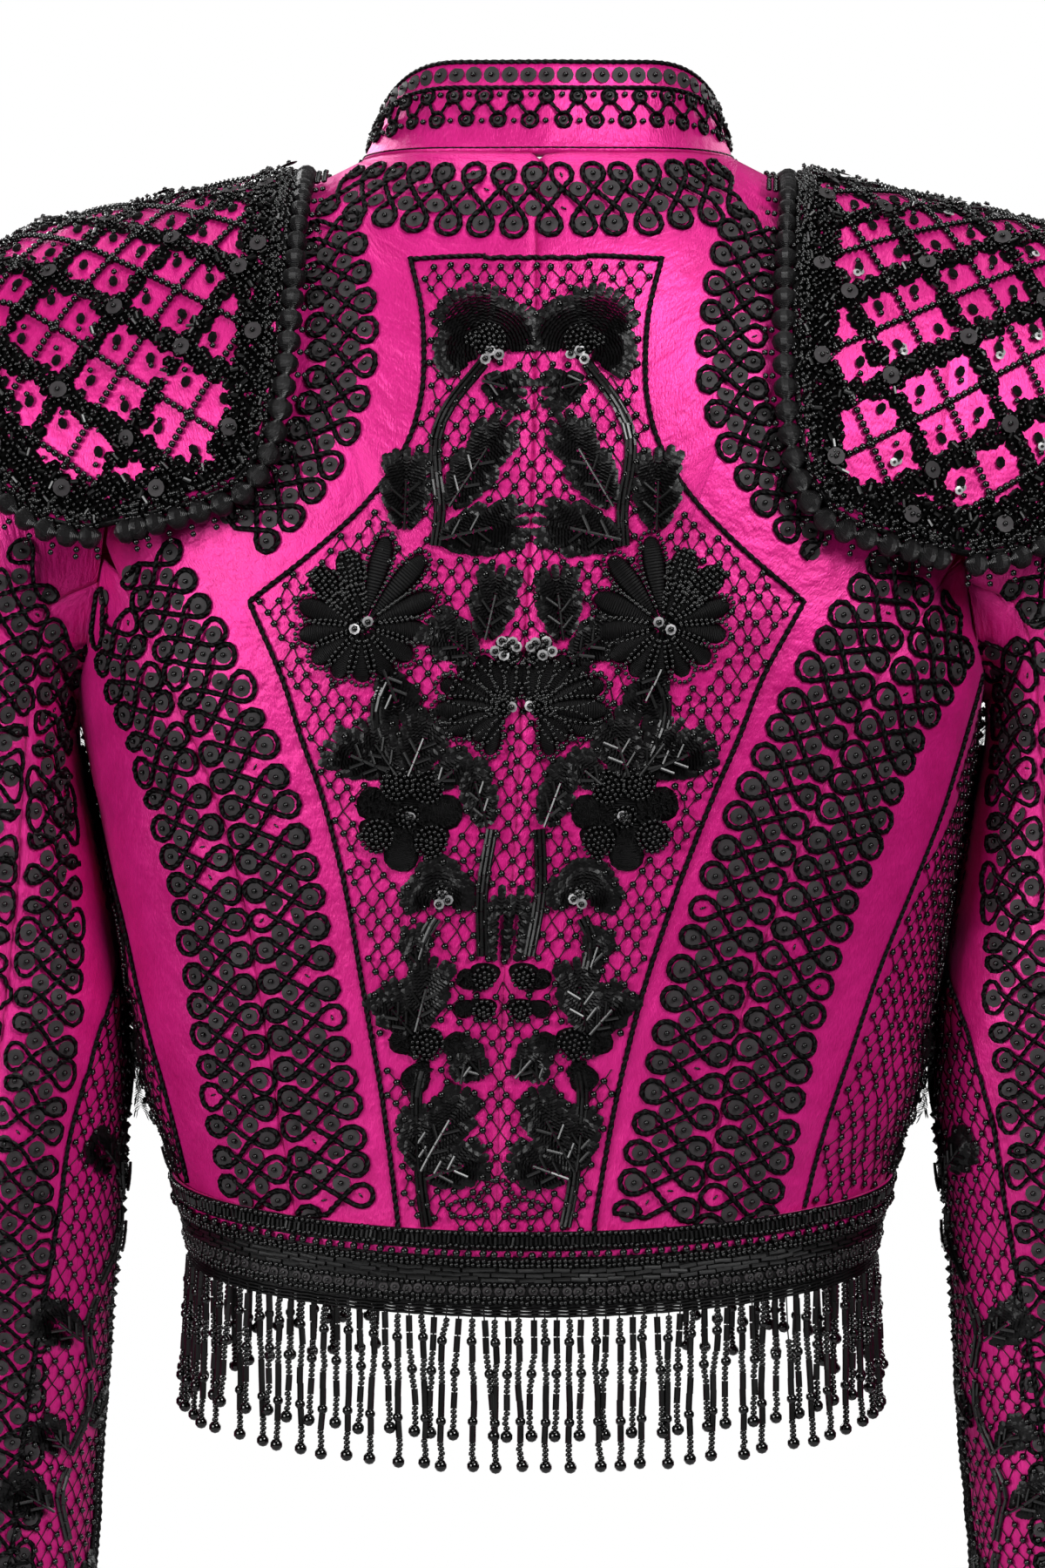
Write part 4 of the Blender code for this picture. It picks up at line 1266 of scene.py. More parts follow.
def rounded(points, per):
    """A soft curve through points, with per steps between neighbours."""
    p = np.concatenate([[2 * points[0] - points[1]], points, [2 * points[-1] - points[-2]]])
    t = np.arange(per)[:, None] / per
    out = []
    for a, b, c, d in zip(p[:-3], p[1:-2], p[2:-1], p[3:]):
        bent, swung = 2 * a - 5 * b + 4 * c - d, 3 * b - a - 3 * c + d
        out.append(0.5 * (2 * b + (c - a) * t + bent * t**2 + swung * t**3))
    return np.concatenate([*out, points[-1:]])


class Trim:
    """The heaps that one area's looped bands and braids are gathered in."""

    def __init__(self, sides=4, step=1.75):
        self.cord, self.sequins, self.seeds = Heap(), Heap(), Heap()
        self.sides, self.step = sides, step

    def make(self, name, word=""):
        for heap, kind, finish in (
            (self.cord, "cords", cord_silk), (self.sequins, "sequins", dull), (self.seeds, "beads", glass),
        ):
            heap.make(f"{name}_{kind}{word}", finish)


def to_cloth(guide, where, ground, lift):
    """Carries points given as (side offset, place along, height) on to the cloth by a guide line."""
    d = walked(guide)
    tangent = unit(np.gradient(guide, axis=0))
    _, out = ground.near(guide)
    side_way = unit(np.cross(tangent, out))
    s = where[:, 1]
    at, n = ground.near(read_at(s, d, guide) + unit(read_at(s, d, side_way)) * where[:, :1])
    return at + n * (where[:, 2:3] + lift), n


def sequins_on(trim, at, n, sizes, draw, bare=0.05):
    """Sequins with a seed bead on each; a few are missing and leave a knot of thread."""
    keep = draw.random(len(at)) > bare
    tilt = tipped(n, draw, 0.10)
    axes = any_way_round(tilt, draw)
    size = np.stack([sizes, sizes, np.full(len(at), 4.0)], -1)
    trim.sequins.copies(SEQUIN, at[keep], axes[keep], size[keep])
    trim.seeds.copies(SEWN_SEED, (at + tilt * 0.75)[keep], axes[keep], 1.12)
    trim.seeds.copies(SEED, at[~keep] - n[~keep] * 0.3, axes[~keep], (0.5, 1.5, 0.5))


def looped_band(trim, guide, ground, seed, pitch=BAND_PITCH, squash=1.0, ends=0.0):
    """Lays a looped band centred on the guide line, from one end to the other."""
    draw = np.random.default_rng(seed)
    total = np.linalg.norm(np.diff(guide, axis=0), axis=1).sum() - 2 * ends
    repeats = max(int(round(total / pitch)), 1)
    step = total / repeats
    path, spots, sizes = [], [], []
    for k in range(2 * repeats + 1):
        hand = -1 if k % 2 else 1
        s = ends + k * step / 2
        grow = draw.uniform(0.93, 1.05)
        slant = draw.uniform(-0.08, 0.08)
        loop = LOOP * grow * (squash, 1.0)
        o = hand * (BAND_ROOT * squash + loop[:, 0])
        along_it = s + loop[:, 1] + loop[:, 0] * slant
        high = np.zeros(len(loop))
        high[-2:] = 1.5
        path.append(np.stack([o, along_it, high], -1))
        spots.append((hand * (BAND_ROOT + LOOP_SEQUIN * 0.68) * squash, s + LOOP_SEQUIN * 0.68 * slant))
        sizes.append(3.5 * min(squash * 1.08, 1) * draw.uniform(0.94, 1.06))
        if 0 < k < 2 * repeats:
            spots.append((-hand * POCKET_SEQUIN * squash, s + draw.uniform(-0.4, 0.4)))
            sizes.append(3.45 * draw.uniform(0.95, 1.05))
    line = rounded(np.concatenate([p[:-1] for p in path]), 3)
    line[:, 2] = np.clip(line[:, 2], 0, 1.6)
    at, n = to_cloth(guide, line, ground, BAND_CORD * 0.8)
    at = resample(at, trim.step)
    _, n = ground.near(at)
    lay_cord(trim.cord, at, n, BAND_CORD, trim.sides)
    spots = np.array(spots)
    spots = np.concatenate([spots, draw.uniform(0.5, 0.9, (len(spots), 1))], -1)
    at, n = to_cloth(guide, spots, ground, 0.0)
    sequins_on(trim, at, n, np.array(sizes), draw)


def braid(trim, line, ground, radius=1.0, lift=0.8):
    """A plain cord along a line on the cloth."""
    line = resample(line, 1.3)
    at, n = ground.near(line)
    lay_cord(trim.cord, at + n * lift, n, radius)


# %% Guide lines of the body bands
def centre_shift(z):
    """The back's middle line in the hung jacket: its drift and the lean of the shoulders."""
    return smooth(DRIFT, z) + smooth(SWAY, z)


def on_back(x, z, ground):
    at, n, good = ground.behind(np.stack([x, z], -1))
    return at[good], n[good]


def offset_line(line, ground, off):
    """A line beside another on the cloth, off millimetres to its right."""
    at, n = ground.near(line)
    way = unit(np.cross(unit(np.gradient(at, axis=0)), n))
    for _ in range(2):
        at, n = ground.near(line + way * off)
    return at


def settled(line):
    """Evens out a guide line that was picked up from uneven cloth."""
    line = resample(line, 3.0)
    for _ in range(4):
        line[1:-1] = (line[:-2] + line[1:-1] * 2 + line[2:]) / 4
    return line


BAND_OFF = 17.6
body = skin["body"]
back_trim = Trim()
for side in (1, -1):
    z = np.linspace(-168, -452, 90)
    drift = smooth(DRIFT, z) * np.clip((-155 - z) / 40, 0, 1)
    seam = torso(*edge_points(side * smooth(PRINCESS, z) + drift, z, False).T)
    low = hem_level(edge_points(seam[:, 0], z, False)[:, 0]) + HEM_BAND - 2
    seam = resample(seam[z > low], 3.0)
    for k, off in enumerate((-BAND_OFF, BAND_OFF)):
        guide = settled(offset_line(seam, body, off))
        looped_band(back_trim, guide, body, 100 + 10 * k + side, squash=1.04)

# The neck band, from the top of one shoulder round the back to the other.
NECK_BAND_TOP = table((0, -17.2), (25, -16.7), (45, -15.2), (62, -13.2), (76, -10.8))
x = np.linspace(-78, 78, 80)
z = smooth(NECK_BAND_TOP, np.abs(x))
at, _ = on_back(x + centre_shift(z) * 0.5, z, body)
looped_band(back_trim, resample(at, 3.0), body, 140, pitch=12.6, squash=1.08)

# The armhole bands, beside the inner edges of the shoulder pieces.
ARM_BAND = table(
    (-24, 84), (-37, 80), (-50, 77.5), (-65, 75.5), (-81, 74.5), (-97, 77.5), (-112, 83.5),
    (-125, 92), (-137, 101.5), (-147, 112.5),
)
for side in (1, -1):
    at, _ = on_back(side * ARM_BAND[:, 1] + smooth(SWAY, ARM_BAND[:, 0]), ARM_BAND[:, 0], body)
    looped_band(back_trim, resample(rounded(at, 6), 3.0), body, 150 + side, squash=0.86)
back_trim.make("back_band")

# %% [markdown]
# ## Braids and beaded net
# A thin braid outlines the shield of the back and the side panels. Inside, a net of fine thread
# is stitched down at every crossing with one seed bead.
# %% Outline of the shield
SHIELD = table(
    (-40, 48.5), (-62, 43.5), (-77, 42.5), (-95, 43.3), (-112, 48), (-135, 63), (-155, 84),
    (-173, 106.5), (-205, 91), (-225, 84), (-245, 76), (-272, 67), (-305, 58), (-340, 50),
    (-365, 45), (-384, 42), (-412, 38),
)
SHIELD_TOP = -40.0
SIDE_BRAID = table((-196, 181), (-255, 165), (-306, 148), (-341, 137.6), (-381, 125.5), (-414, 118))
NET_ACROSS, NET_DOWN = 6.6, 4.75


def half_shield(z):
    """Half the width of the shield at each level; it has a sharp corner at its widest."""
    corner = SHIELD[7, 0]
    return np.where(z > corner, smooth(SHIELD[:8], z), smooth(SHIELD[7:], z))


outline, net, net_beads = Trim(), Heap(), Heap()
for side in (1, -1):
    z = join(np.linspace(SHIELD_TOP, SHIELD[7, 0], 30), np.linspace(SHIELD[7, 0], -417, 50))
    at, _ = on_back(centre_shift(z) + side * half_shield(z), z, body)
    braid(outline, at, body)
    top = np.linspace(0.4, 1, 20) * side * half_shield(SHIELD_TOP)
    z = SHIELD_TOP + 0.8 * np.sin(np.abs(top) / 14) - 0.6
    at, _ = on_back(centre_shift(z) + top, z, body)
    braid(outline, at, body)
    z = np.linspace(-200, -440, 60)
    at, _ = on_back(side * smooth(SIDE_BRAID, z) + centre_shift(z), z, body)
    low = hem_level(angle_of(at[:, 0], at[:, 2], False)) + HEM_BAND
    braid(outline, at[at[:, 2] > low], body)
z = np.full(40, SHIELD_TOP - 0.6)
at, _ = on_back(centre_shift(z) + np.linspace(-20, 20, 40), z + 0.3 * np.sin(np.arange(40)), body)
braid(outline, at, body)


# %% Net
covered = []  # (distance from the middle, level, radius) of the motifs that hide the net
NET_LIFT, SHORTEST, LONGEST = 0.55, 1.32, 9.0
NET_THREAD, NET_BEAD, MISSING = 0.23, 1.62, 0.04
net_draw = np.random.default_rng(41)


def net_over(rows, model=CHIP):
    """Threads and beads for rows of cloth points; each row is (points, normals, column numbers)."""
    starts, ends, ups = [], [], []
    for k, (p, n, c) in enumerate(rows):
        jitter = net_draw.normal(size=p.shape) * 0.5
        jitter -= n * np.sum(jitter * n, -1, keepdims=True)
        rows[k] = (p + n * NET_LIFT + jitter, n, c)
    for (p, n, c), (q, _, e) in zip(rows[:-1], rows[1:]):
        for i in range(len(p)):
            for j in np.flatnonzero(np.abs(e - c[i]) < 0.75) if len(e) else ():
                gap = np.linalg.norm(q[j] - p[i])
                if SHORTEST < gap < LONGEST:
                    starts.append(p[i])
                    ends.append(q[j])
                    ups.append(n[i])
    lay_threads(net, np.array(starts), np.array(ends), np.array(ups), NET_THREAD)
    for p, n, c in rows:
        keep = net_draw.random(len(p)) > MISSING
        net_beads.copies(model, (p + n * 0.7)[keep], frames_on(n[keep]), NET_BEAD)


def clear_of_motifs(x, z):
    free = np.ones(len(x), bool)
    for mx, mz, r in covered:
        free &= np.hypot(x - mx, z - mz) > r
    return free


def shield_rows():
    rows = []
    for k, z in enumerate(np.arange(SHIELD_TOP - 4, -416, -NET_DOWN)):
        half = float(half_shield(z)) - 2.2
        c = np.arange(-26, 27) + 0.5 * (k % 2)
        x = c * NET_ACROSS
        inside = (np.abs(x) < half) & clear_of_motifs(x, z)
        x, c = x[inside], c[inside]
        at, n = on_back(x + centre_shift(z), np.full(len(x), z), body)
        low = HEM_BAND + 1 + hem_level(angle_of(at[:, 0], z, False))
        rows.append((at[z > low], n[z > low], c[z > low]))
    return rows


# %% [markdown]
# ## Flowers and leaves
# The shield holds a climbing spray on each side of the middle seam: leaves of overlapping
# sequins, stems of bugle beads, and flowers with petals of padded thread edged with seed beads.
# Each motif is drawn round its own middle and then carried to the cloth.
# %% A spray on the flat
STRING_PITCH, SEED_PITCH = 1.3, 1.95
VEIN_HIGH, VEIN_THICK, LEAF_GROWS = 3.0, 1.25, (1.06, 1.14)
STEM_THICK, STEM_PITCH = 1.75, 6.6


def aside(x, z, angle, a, b=0.0):
    """The place a ahead and b to the right of (x, z), for one who looks along an angle from up."""
    c, s = math.cos(math.radians(angle)), math.sin(math.radians(angle))
    return x + a * s + b * c, z + a * c - b * s


class Spray:
    """Motifs of one side, placed by half distance and level, mirrored for the other side."""

    def __init__(self, place, side, seed):
        self.place, self.side = place, side
        self.draw = np.random.default_rng(seed)
        self.leaves, self.bugles, self.seeds, self.thread = Heap(), Heap(), Heap(), Heap()
        self.shine = Heap()

    def ground(self, x, z):
        """Cloth points, outward directions, and which were found."""
        return self.place(np.atleast_1d(x) * self.side, np.atleast_1d(z))

    def spots(self, x, z, high):
        at, n = self.ground(x, z)
        return at + n * np.broadcast_to(high, len(at))[:, None], n

    def bead_line(self, x, z, high=0.9, size=1.05, pitch=2.05):
        line = resample(np.stack([x, z], -1), pitch)
        at, n = self.spots(*line.T, high)
        self.seeds.sew(at, n, size)

    def stem(self, points, wide=3):
        """Bugles laid end to end along a curve, in one or more rows side by side."""
        line = resample(rounded(np.array(points, float), 6), 1.0)
        t = unit(np.gradient(line, axis=0))
        away = np.stack([-t[:, 1], t[:, 0]], -1)
        for k in range(wide):
            off = (k - (wide - 1) / 2) * STEM_THICK * 0.9
            row = resample(line + away * off, STEM_PITCH)
            if k % 2 and len(row) > 2:
                row = np.concatenate([row[:1], (row[1:] + row[:-1]) / 2, row[-1:]])
            at, _ = self.spots(*row.T, 1.0 + 0.8 * (k == wide // 2))
            self.strokes(at[:-1], at[1:], STEM_THICK, 0.97)

    def strokes(self, a, b, thick, share=1.0):
        """A bugle between each pair of points, over some share of the way."""
        gap = b - a
        scale = np.stack([np.full(len(gap), thick)] * 2 + [np.linalg.norm(gap, axis=1) * share], -1)
        self.bugles.copies(BUGLE, (a + b) / 2, pointing(unit(gap)), scale)

    def string(self, x, z, angle, long, size=1.75, high=1.1, bend=0.0, heap=None):
        """A row of overlapping sequins that stand nearly on edge, with the last ones lying down."""
        steps = np.arange(0, long, STRING_PITCH)
        turn = np.radians(angle + bend * steps / max(long, 1))
        way = np.stack([np.sin(turn), np.cos(turn)], -1)
        px, pz = x + np.cumsum(way[:, 0] * STRING_PITCH), z + np.cumsum(way[:, 1] * STRING_PITCH)
        at, n = self.ground(px, pz)
        t = np.stack([way[:, 0] * self.side, np.zeros(len(way)), way[:, 1]], -1)
        t = unit(t - n * np.sum(t * n, -1, keepdims=True))
        tip = np.clip((long - 2.0 - steps) * 0.42, 0.12, 1.1)[:, None]
        lean_out = tipped(n + t * tip, self.draw, 0.05)
        at = at + n * (high + self.draw.uniform(-0.1, 0.1, len(at)))[:, None]
        sizes = size * self.draw.uniform(0.92, 1.1, len(at))
        (heap or self.leaves).copies(SCALE, at, frames_on(lean_out), np.stack([sizes] * 3, -1))

    def leaf(self, x, z, angle, long, wide, lobes=3, veins=True):
        """A lobed leaf with its foot at (x, z), pointing along an angle: 0 up, 90 outwards."""
        long, wide = long * LEAF_GROWS[0], wide * LEAF_GROWS[1]
        for a in np.arange(0.8, long * 0.80, 2.5):
            f = a / long
            full = math.sin(math.pi * min(f * 0.90 + 0.16, 1)) ** 0.75
            lobe = 0.62 + 0.50 * abs(math.sin(f * math.pi * lobes))
            for b in (-1, 1):
                reach = wide * 0.66 * full * lobe * self.draw.uniform(0.94, 1.06)
                foot = aside(x, z, angle, a, b * 0.9)
                self.string(*foot, angle + b * (50 - 18 * f), reach, high=1.5, bend=-b * 22)
        self.string(*aside(x, z, angle, long * 0.62), angle, long * 0.36, high=1.5)
        for a in np.arange(1, long, 3):
            f = a / long
            half = wide * 0.40 * math.sin(math.pi * min(f * 0.86 + 0.12, 1)) ** 0.6
            self.cover(*aside(x, z, angle, a), half)
        if veins:
            count = max(int(long * 0.62 / 5.2), 1)
            steps = [(k * 0.62 / count, 0, (k + 0.94) * 0.62 / count, 0) for k in range(count)]
            sprigs = ((0.16, 1), (0.22, -1), (0.38, 1), (0.46, -1))
            steps += [(f, b * 0.6, f + 4.0 / long, b * wide * 0.26) for f, b in sprigs[:2 + 2 * (long > 18)]]
            a0, b0, a1, b1 = np.array(steps).T
            (foot, _), (tip, _) = (
                self.spots(*aside(x, z, angle, a * long, b), VEIN_HIGH) for a, b in ((a0, b0), (a1, b1))
            )
            self.strokes(foot, tip, VEIN_THICK)

    def lobe(self, foot, tip, high, wide, thick):
        """Padded stitching from one place to another."""
        at, n = self.spots(*foot, high)
        end, m = self.spots(*tip, high)
        sizes = [[wide, np.linalg.norm(end - at), thick]]
        self.thread.copies(PETAL, at, frames_on(n + m, unit(end - at)), sizes)

    def petal(self, x, z, angle, long, wide, thick=3.0, edge=True):
        """One padded petal with its foot at (x, z), edged with seed beads."""
        self.lobe((x, z), aside(x, z, angle, long), 0.2, wide, thick)
        if edge:
            t = np.linspace(0, 2 * math.pi, 40)[4:-4]
            f = 0.5 - 0.5 * np.cos(t)
            a = long * (0.06 + 0.99 * f)
            b = np.sin(t) * wide * 0.5 * (0.48 + 1.0 * f) + np.sign(np.sin(t)) * 0.5
            self.bead_line(*aside(x, z, angle, a, b), 1.7, 1.02, 2.0)
        self.cover(*aside(x, z, angle, long * 0.6), wide * 0.62)

    def pad(self, x, z, r, thick=1.6):
        """A round of dark laid thread, the ground of the beads."""
        self.lobe((x, z - r), (x, z + r), 0.1, 2.1 * r, thick)

    def cluster(self, x, z, r, high=2.0):
        """A mound of seed beads on dark thread."""
        self.pad(x, z, r, high)
        pts = [(x, z, 0.0)]
        for k in range(1, int(r / SEED_PITCH) + 1):
            count = max(int(6.28 * k), 5)
            a = np.arange(count) * 2 * math.pi / count + k * 0.4
            ring = k * SEED_PITCH
            pts.extend((x + ring * math.cos(t), z + ring * math.sin(t), ring / r) for t in a)
        pts = np.array(pts)
        at, n = self.spots(*pts[:, :2].T, 1.1 + high * (1 - pts[:, 2] ** 2))
        self.seeds.sew(at, n, self.draw.uniform(0.9, 1.1))
        self.cover(x, z, r * 0.9)

    def beaded(self, x, z, angle, long, wide):
        """A petal filled with loosely sewn seed beads instead of laid thread."""
        self.petal(*aside(x, z, angle, -3), angle, long + 4, wide * 0.95, 1.6, edge=False)
        a, b = np.meshgrid(np.arange(1, long, SEED_PITCH), np.arange(-wide / 2, wide / 2 + 0.1, SEED_PITCH))
        full = wide * 0.56 * np.sin(math.pi * np.clip(a / long * 0.9 + 0.05, 0, 1)) ** 0.5
        keep = np.abs(b) < full
        a, b = (v[keep] + self.draw.uniform(-0.4, 0.4, keep.sum()) for v in (a, b))
        at, n = self.spots(*aside(x, z, angle, a, b), 1.7)
        self.seeds.sew(at, n, 1.08)

    def rings(self, x, z, high=2.9):
        """Small cupped sequins with a bead, pale grey: a painted glint where they catch the light."""
        at, n = self.spots(x, z, high)
        n = tipped(n, self.draw, 0.25)
        self.shine.copies(SMALL_SEQUIN, at, frames_on(n), (2.2, 2.2, 2.0))
        self.seeds.copies(SEED, at + n * 0.6, frames_on(n), 1.35)

    def knots(self, x, z, angle, long, wide):
        """A petal filled with curled thread knots."""
        self.petal(x, z, angle, long, wide, 2.4, edge=False)
        draw = self.draw
        count = int(long * wide * 0.42)
        f, b = draw.uniform(0.12, 0.95, count), draw.uniform(-0.42, 0.42, count)
        a, b = f * long, b * wide * np.sin(math.pi * f) ** 0.4
        at, n = self.spots(*aside(x, z, angle, a, b), 1.3)
        t = unit(np.cross(n, draw.normal(size=n.shape)))
        self.thread.copies(SEED, at, frames_on(n, t), (0.55, 1.5, 0.9))

    def cover(self, x, z, r):
        """Notes a round of net that a motif hides."""
        covered.append((x * self.side, z, r))

    def make(self, name, word, beads="beads"):
        self.leaves.make(f"{name}_leaves_{word}", leafy)
        self.bugles.make(f"{name}_bugles_{word}", cut_glass)
        self.seeds.make(f"{name}_{beads}_{word}", glass)
        self.thread.make(f"{name}_petals_{word}", laid_silk)
        self.shine.make(f"{name}_bright_sequins_{word}", clear)


def garland(s, z_from, z_to, middle):
    """Pairs of sequin strings down a narrow panel, fuller towards the waist."""
    for z in np.arange(z_from, z_to, -5.6):
        high = np.interp(-z, (-z_from, 100 - z_from), (2.6, 4.6))
        for b in (-1, 1):
            s.string(middle(z) + 1.0 * b, z, 180 - 36 * b, 8.0 + s.draw.uniform(-1, 1), high=high)


# %% The spray of the back
def back_place(x, z):
    return on_back(x + centre_shift(z), z, body)


def fan_flower(s, x, z, lobes, heart):
    """A flower of three fans of sequin strings over a mound of beads and rings."""
    for angle, reach in lobes:
        for k, t in enumerate(np.linspace(-38, 38, 11) + angle):
            near = reach * (0.18 if k % 2 else 0.42)
            far = reach * (1 - 0.16 * (abs(k - 5) / 5) ** 2) * s.draw.uniform(0.97, 1.04)
            s.string(*aside(x, z, t, near), t, far - near, 1.7, 1.5)
        s.cover(*aside(x, z, angle, 0.6 * reach), reach * 0.42)
    s.cluster(x - 1.5, z + 4, heart)
    s.cluster(x - 1.5 + heart * 0.9, z + 4, heart * 0.45)
    s.rings(x - 1.5 + np.array([-3.4, 1.2, -0.4]) * heart / 7, z + 4 - heart + np.array([1.8, 0.2, 3.4]))


def great_flower(s, x, z, r):
    """The large flower: a ring of padded petals, longer outwards, round a small shining heart."""
    for angle in np.linspace(0, 360, 14)[:-1] - 12:
        t = math.radians(angle)
        reach = r * (0.88 + 0.12 * math.cos(t) + 0.26 * max(math.cos(t + 0.45), 0) ** 3)
        at = aside(x, z, angle, 2.6)
        if 10 < angle < 60:
            s.petal(*at, angle, r * 0.46, 6.4, 3.4)
            s.beaded(*aside(x, z, angle, 11), angle, r - 10, 11)
        else:
            s.petal(*at, angle, reach - 2.6, 8.2, 4.0)
    s.cluster(x, z, 3.4, 1.6)
    s.rings([x - 2.4, x + 2.4], [z + 1.4, z - 1.4], 4.4)
    s.cover(x, z, r * 0.86)


def half_flower(s, x, z):
    """A fan of padded petals that opens upwards and outwards from the middle seam."""
    petals = (
        (-14, 17, 7.4), (10, 20, 8.0), (31, 23, 8.4), (51, 26, 8.6), (71, 28, 8.8), (92, 28, 8.6),
        (113, 24, 8.2), (134, 18, 7.4),
    )
    for angle, long, wide in petals:
        s.petal(x, z, angle, long, wide, 3.8)
    s.petal(x + 2.5, z - 3, 164, 16, 6.0, 3.4)
    s.cluster(x, z, 3.2, 1.4)
    s.rings([x - 1.5], [z + 0.5])
    s.cluster(x - 1, z + 19, 3.4, 1.0)
    s.rings([x - 2.0, x + 6], [z + 23, z + 21])


def cluster_flower(s, x, z, r):
    """Petals of beads and petals of knotted thread by turns round a small ring."""
    s.pad(x, z, r * 0.62, 1.4)
    for k, angle in enumerate((20, 71, 123, 174, 225, 277, 328)):
        if k % 2 == 0:
            s.cluster(*aside(x, z, angle, 0.64 * r), r * 0.33, 2.0)
        else:
            s.knots(*aside(x, z, angle, 2), angle, r - 2, r * 0.62)
    s.cluster(x, z, r * 0.20, 2.4)
    s.rings([x - 1.0], [z + 0.5])
    s.cover(x, z, r * 0.85)


for side, word in SIDES:
    s = Spray(back_place, side, 60 + side)
    fan_flower(s, 19, -77, ((-48, 22), (22, 25), (86, 18.5)), 7.6)
    s.stem([
        (19.5, -81.5), (23, -86), (28, -92), (34, -101), (37.3, -111), (36.8, -124), (34.8, -137), (36, -152),
    ])
    s.leaf(20, -89, -105, 15, 13, 2)
    s.leaf(31.3, -137, -32, 40, 17, 3)
    s.leaf(34.7, -149.6, -77, 31, 19, 3)
    s.leaf(48, -146, 0, 29, 18, 3)
    great_flower(s, 57.5 + 4.5 * side, -182.5, 28.6)
    s.leaf(15, -188, -10, 27, 16, 3)
    s.leaf(18, -196, 50, 22, 16, 3)
    s.cluster(7, -190.6, 3.6)
    s.rings([4.5, 8.5, 7.5], [-189.0, -188.5, -194.0])
    half_flower(s, 5, -213.6)
    s.leaf(53, -199, 204, 21, 16, 3)
    # Two short strings of pale sequins, whose grey is a painted glint.
    s.string(45, -212, 190, 6, heap=s.shine)
    s.string(48, -213, 170, 5, heap=s.shine)
    s.stem([(53, -206), (55.5, -214), (54, -224), (48, -236)])
    s.leaf(50, -238, 66, 24, 15, 3)
    s.leaf(46, -240, 36, 24, 14, 3)
    s.leaf(42, -240, -20, 24, 17, 3)
    s.leaf(32, -243, -52, 14, 12, 2)
    cluster_flower(s, 41.6, -255.5, 21.0)
    s.leaf(11, -259, 18, 27, 11, 3)
    s.stem([(9, -260), (11.2, -284), (9, -309)])
    fan_flower(s, 28, -288, ((-62, 13), (4, 15.5), (70, 13)), 4.8)
    s.stem([(28, -294), (32.5, -303), (31.6, -314)])
    s.leaf(33, -313, 14, 13, 9, 2)
    s.leaf(2.6, -311, 2, 27, 8, 3, veins=False)
    s.cluster(7.4, -317, 5.4)
    s.cluster(7.0, -330, 4.6)
    s.knots(6, -321, 70, 13, 8)
    s.knots(8, -327, 110, 11, 7)
    s.leaf(33, -338, -12, 27, 17, 3)
    s.leaf(34, -339, 40, 20, 13, 3)
    s.cluster(28.2, -343, 6.6)
    s.knots(30, -346, 62, 14, 11)
    s.knots(28, -349, 150, 14, 11)
    s.knots(24, -344, -80, 11, 9)
    s.leaf(6, -356, 40, 15, 11, 2)
    s.leaf(15, -358, -8, 13, 9, 2)
    s.stem([(30, -353), (32.2, -362), (31.5, -374)])
    s.leaf(29, -392, -28, 34, 17, 4)
    s.leaf(30, -392, 6, 22, 13, 3)
    s.leaf(27, -395, -70, 22, 15, 3)
    s.stem([(30, -388), (29, -400), (26.7, -414)])
    t = np.linspace(0, 2 * math.pi, 40)
    s.bead_line(11 + 7.5 * np.cos(t), -407 + 3.6 * np.sin(t), 0.9, 1.1)
    s.bead_line(np.linspace(0.5, 8, 12), -395 - 9 * np.linspace(0, 1, 12) ** 1.5, 0.9, 1.1)
    s.make("back_spray", word)
net_over(shield_rows(), model=SEWN_SEED)
print("motif footprints:", len(covered))

# %% [markdown]
# ## Side panels
# Round each side, from the braid to the front seam under the arm, the net goes on, with a sprig
# of leaves and a large flower in the middle.
# %% Side net
def side_surface(angle, z):
    """The cloth at an angle and level of the body's side."""
    p = torso(np.asarray(angle, float), np.asarray(z, float) - ARM_LEVEL)
    return body.near(lean(p))


def side_rows(side):
    rows = []
    for k, z in enumerate(np.arange(-214, -428, -NET_DOWN)):
        x0 = float(smooth(SIDE_BRAID, z)) + side * float(smooth(DRIFT, z))
        a0 = float(angle_of(x0, z, False)) + 1.6
        a1 = 180 - float(smooth(FRONT_SEAM, z)) - 2.2
        a = np.linspace(a0, a1, 60)
        p = torso(side * a, np.full(60, z - ARM_LEVEL))
        d = walked(p)
        c = np.arange(0, 38) + 0.5 * (k % 2)
        ahead = d[-1] - c * NET_ACROSS
        c = c[ahead > 0]
        at = np.interp(ahead[ahead > 0], d, a)
        keep = z > hem_level(at) + HEM_BAND + 1
        p, n = side_surface(side * at[keep], np.full(keep.sum(), z))
        free = clear_of_motifs((at[keep] - SIDE_MIDDLE) * SIDE_SCALE * side, z)
        rows.append((p[free], n[free], c[keep][free]))
    return rows


SIDE_MIDDLE, SIDE_SCALE = 92.0, 1.75


def side_place(side):
    def place(x, z):
        return side_surface(side * (SIDE_MIDDLE + side * x / SIDE_SCALE), z)

    return place


for side, word in SIDES:
    covered.clear()
    s = Spray(side_place(side), side, 80 + side)
    s.leaf(-4, -262, 6, 26, 13, 3)
    s.leaf(4, -268, 52, 20, 11, 3)
    s.stem([(0, -262), (2, -276), (-1, -290)])
    great_flower(s, 0, -312, 21)
    s.stem([(1, -334), (-2, -346), (0, -358)])
    s.leaf(4, -352, 60, 23, 13, 3)
    s.leaf(-4, -354, -58, 22, 13, 3)
    cluster_flower(s, 0, -368, 14)
    s.leaf(4, -392, 62, 20, 12, 3)
    s.leaf(-3, -396, -50, 20, 12, 3)
    s.stem([(0, -382), (1, -392), (0, -406)])
    garland(s, -216, -372, lambda z: -3.0)
    s.make("side_spray", word)
    net_over(side_rows(side))
    z = np.linspace(-206, -400, 60)
    p, _ = side_surface(side * (180 - smooth(FRONT_SEAM, z) - 1.6), z)
    low = hem_level(180 - smooth(FRONT_SEAM, z)) + HEM_BAND
    braid(outline, p[z > low], body)

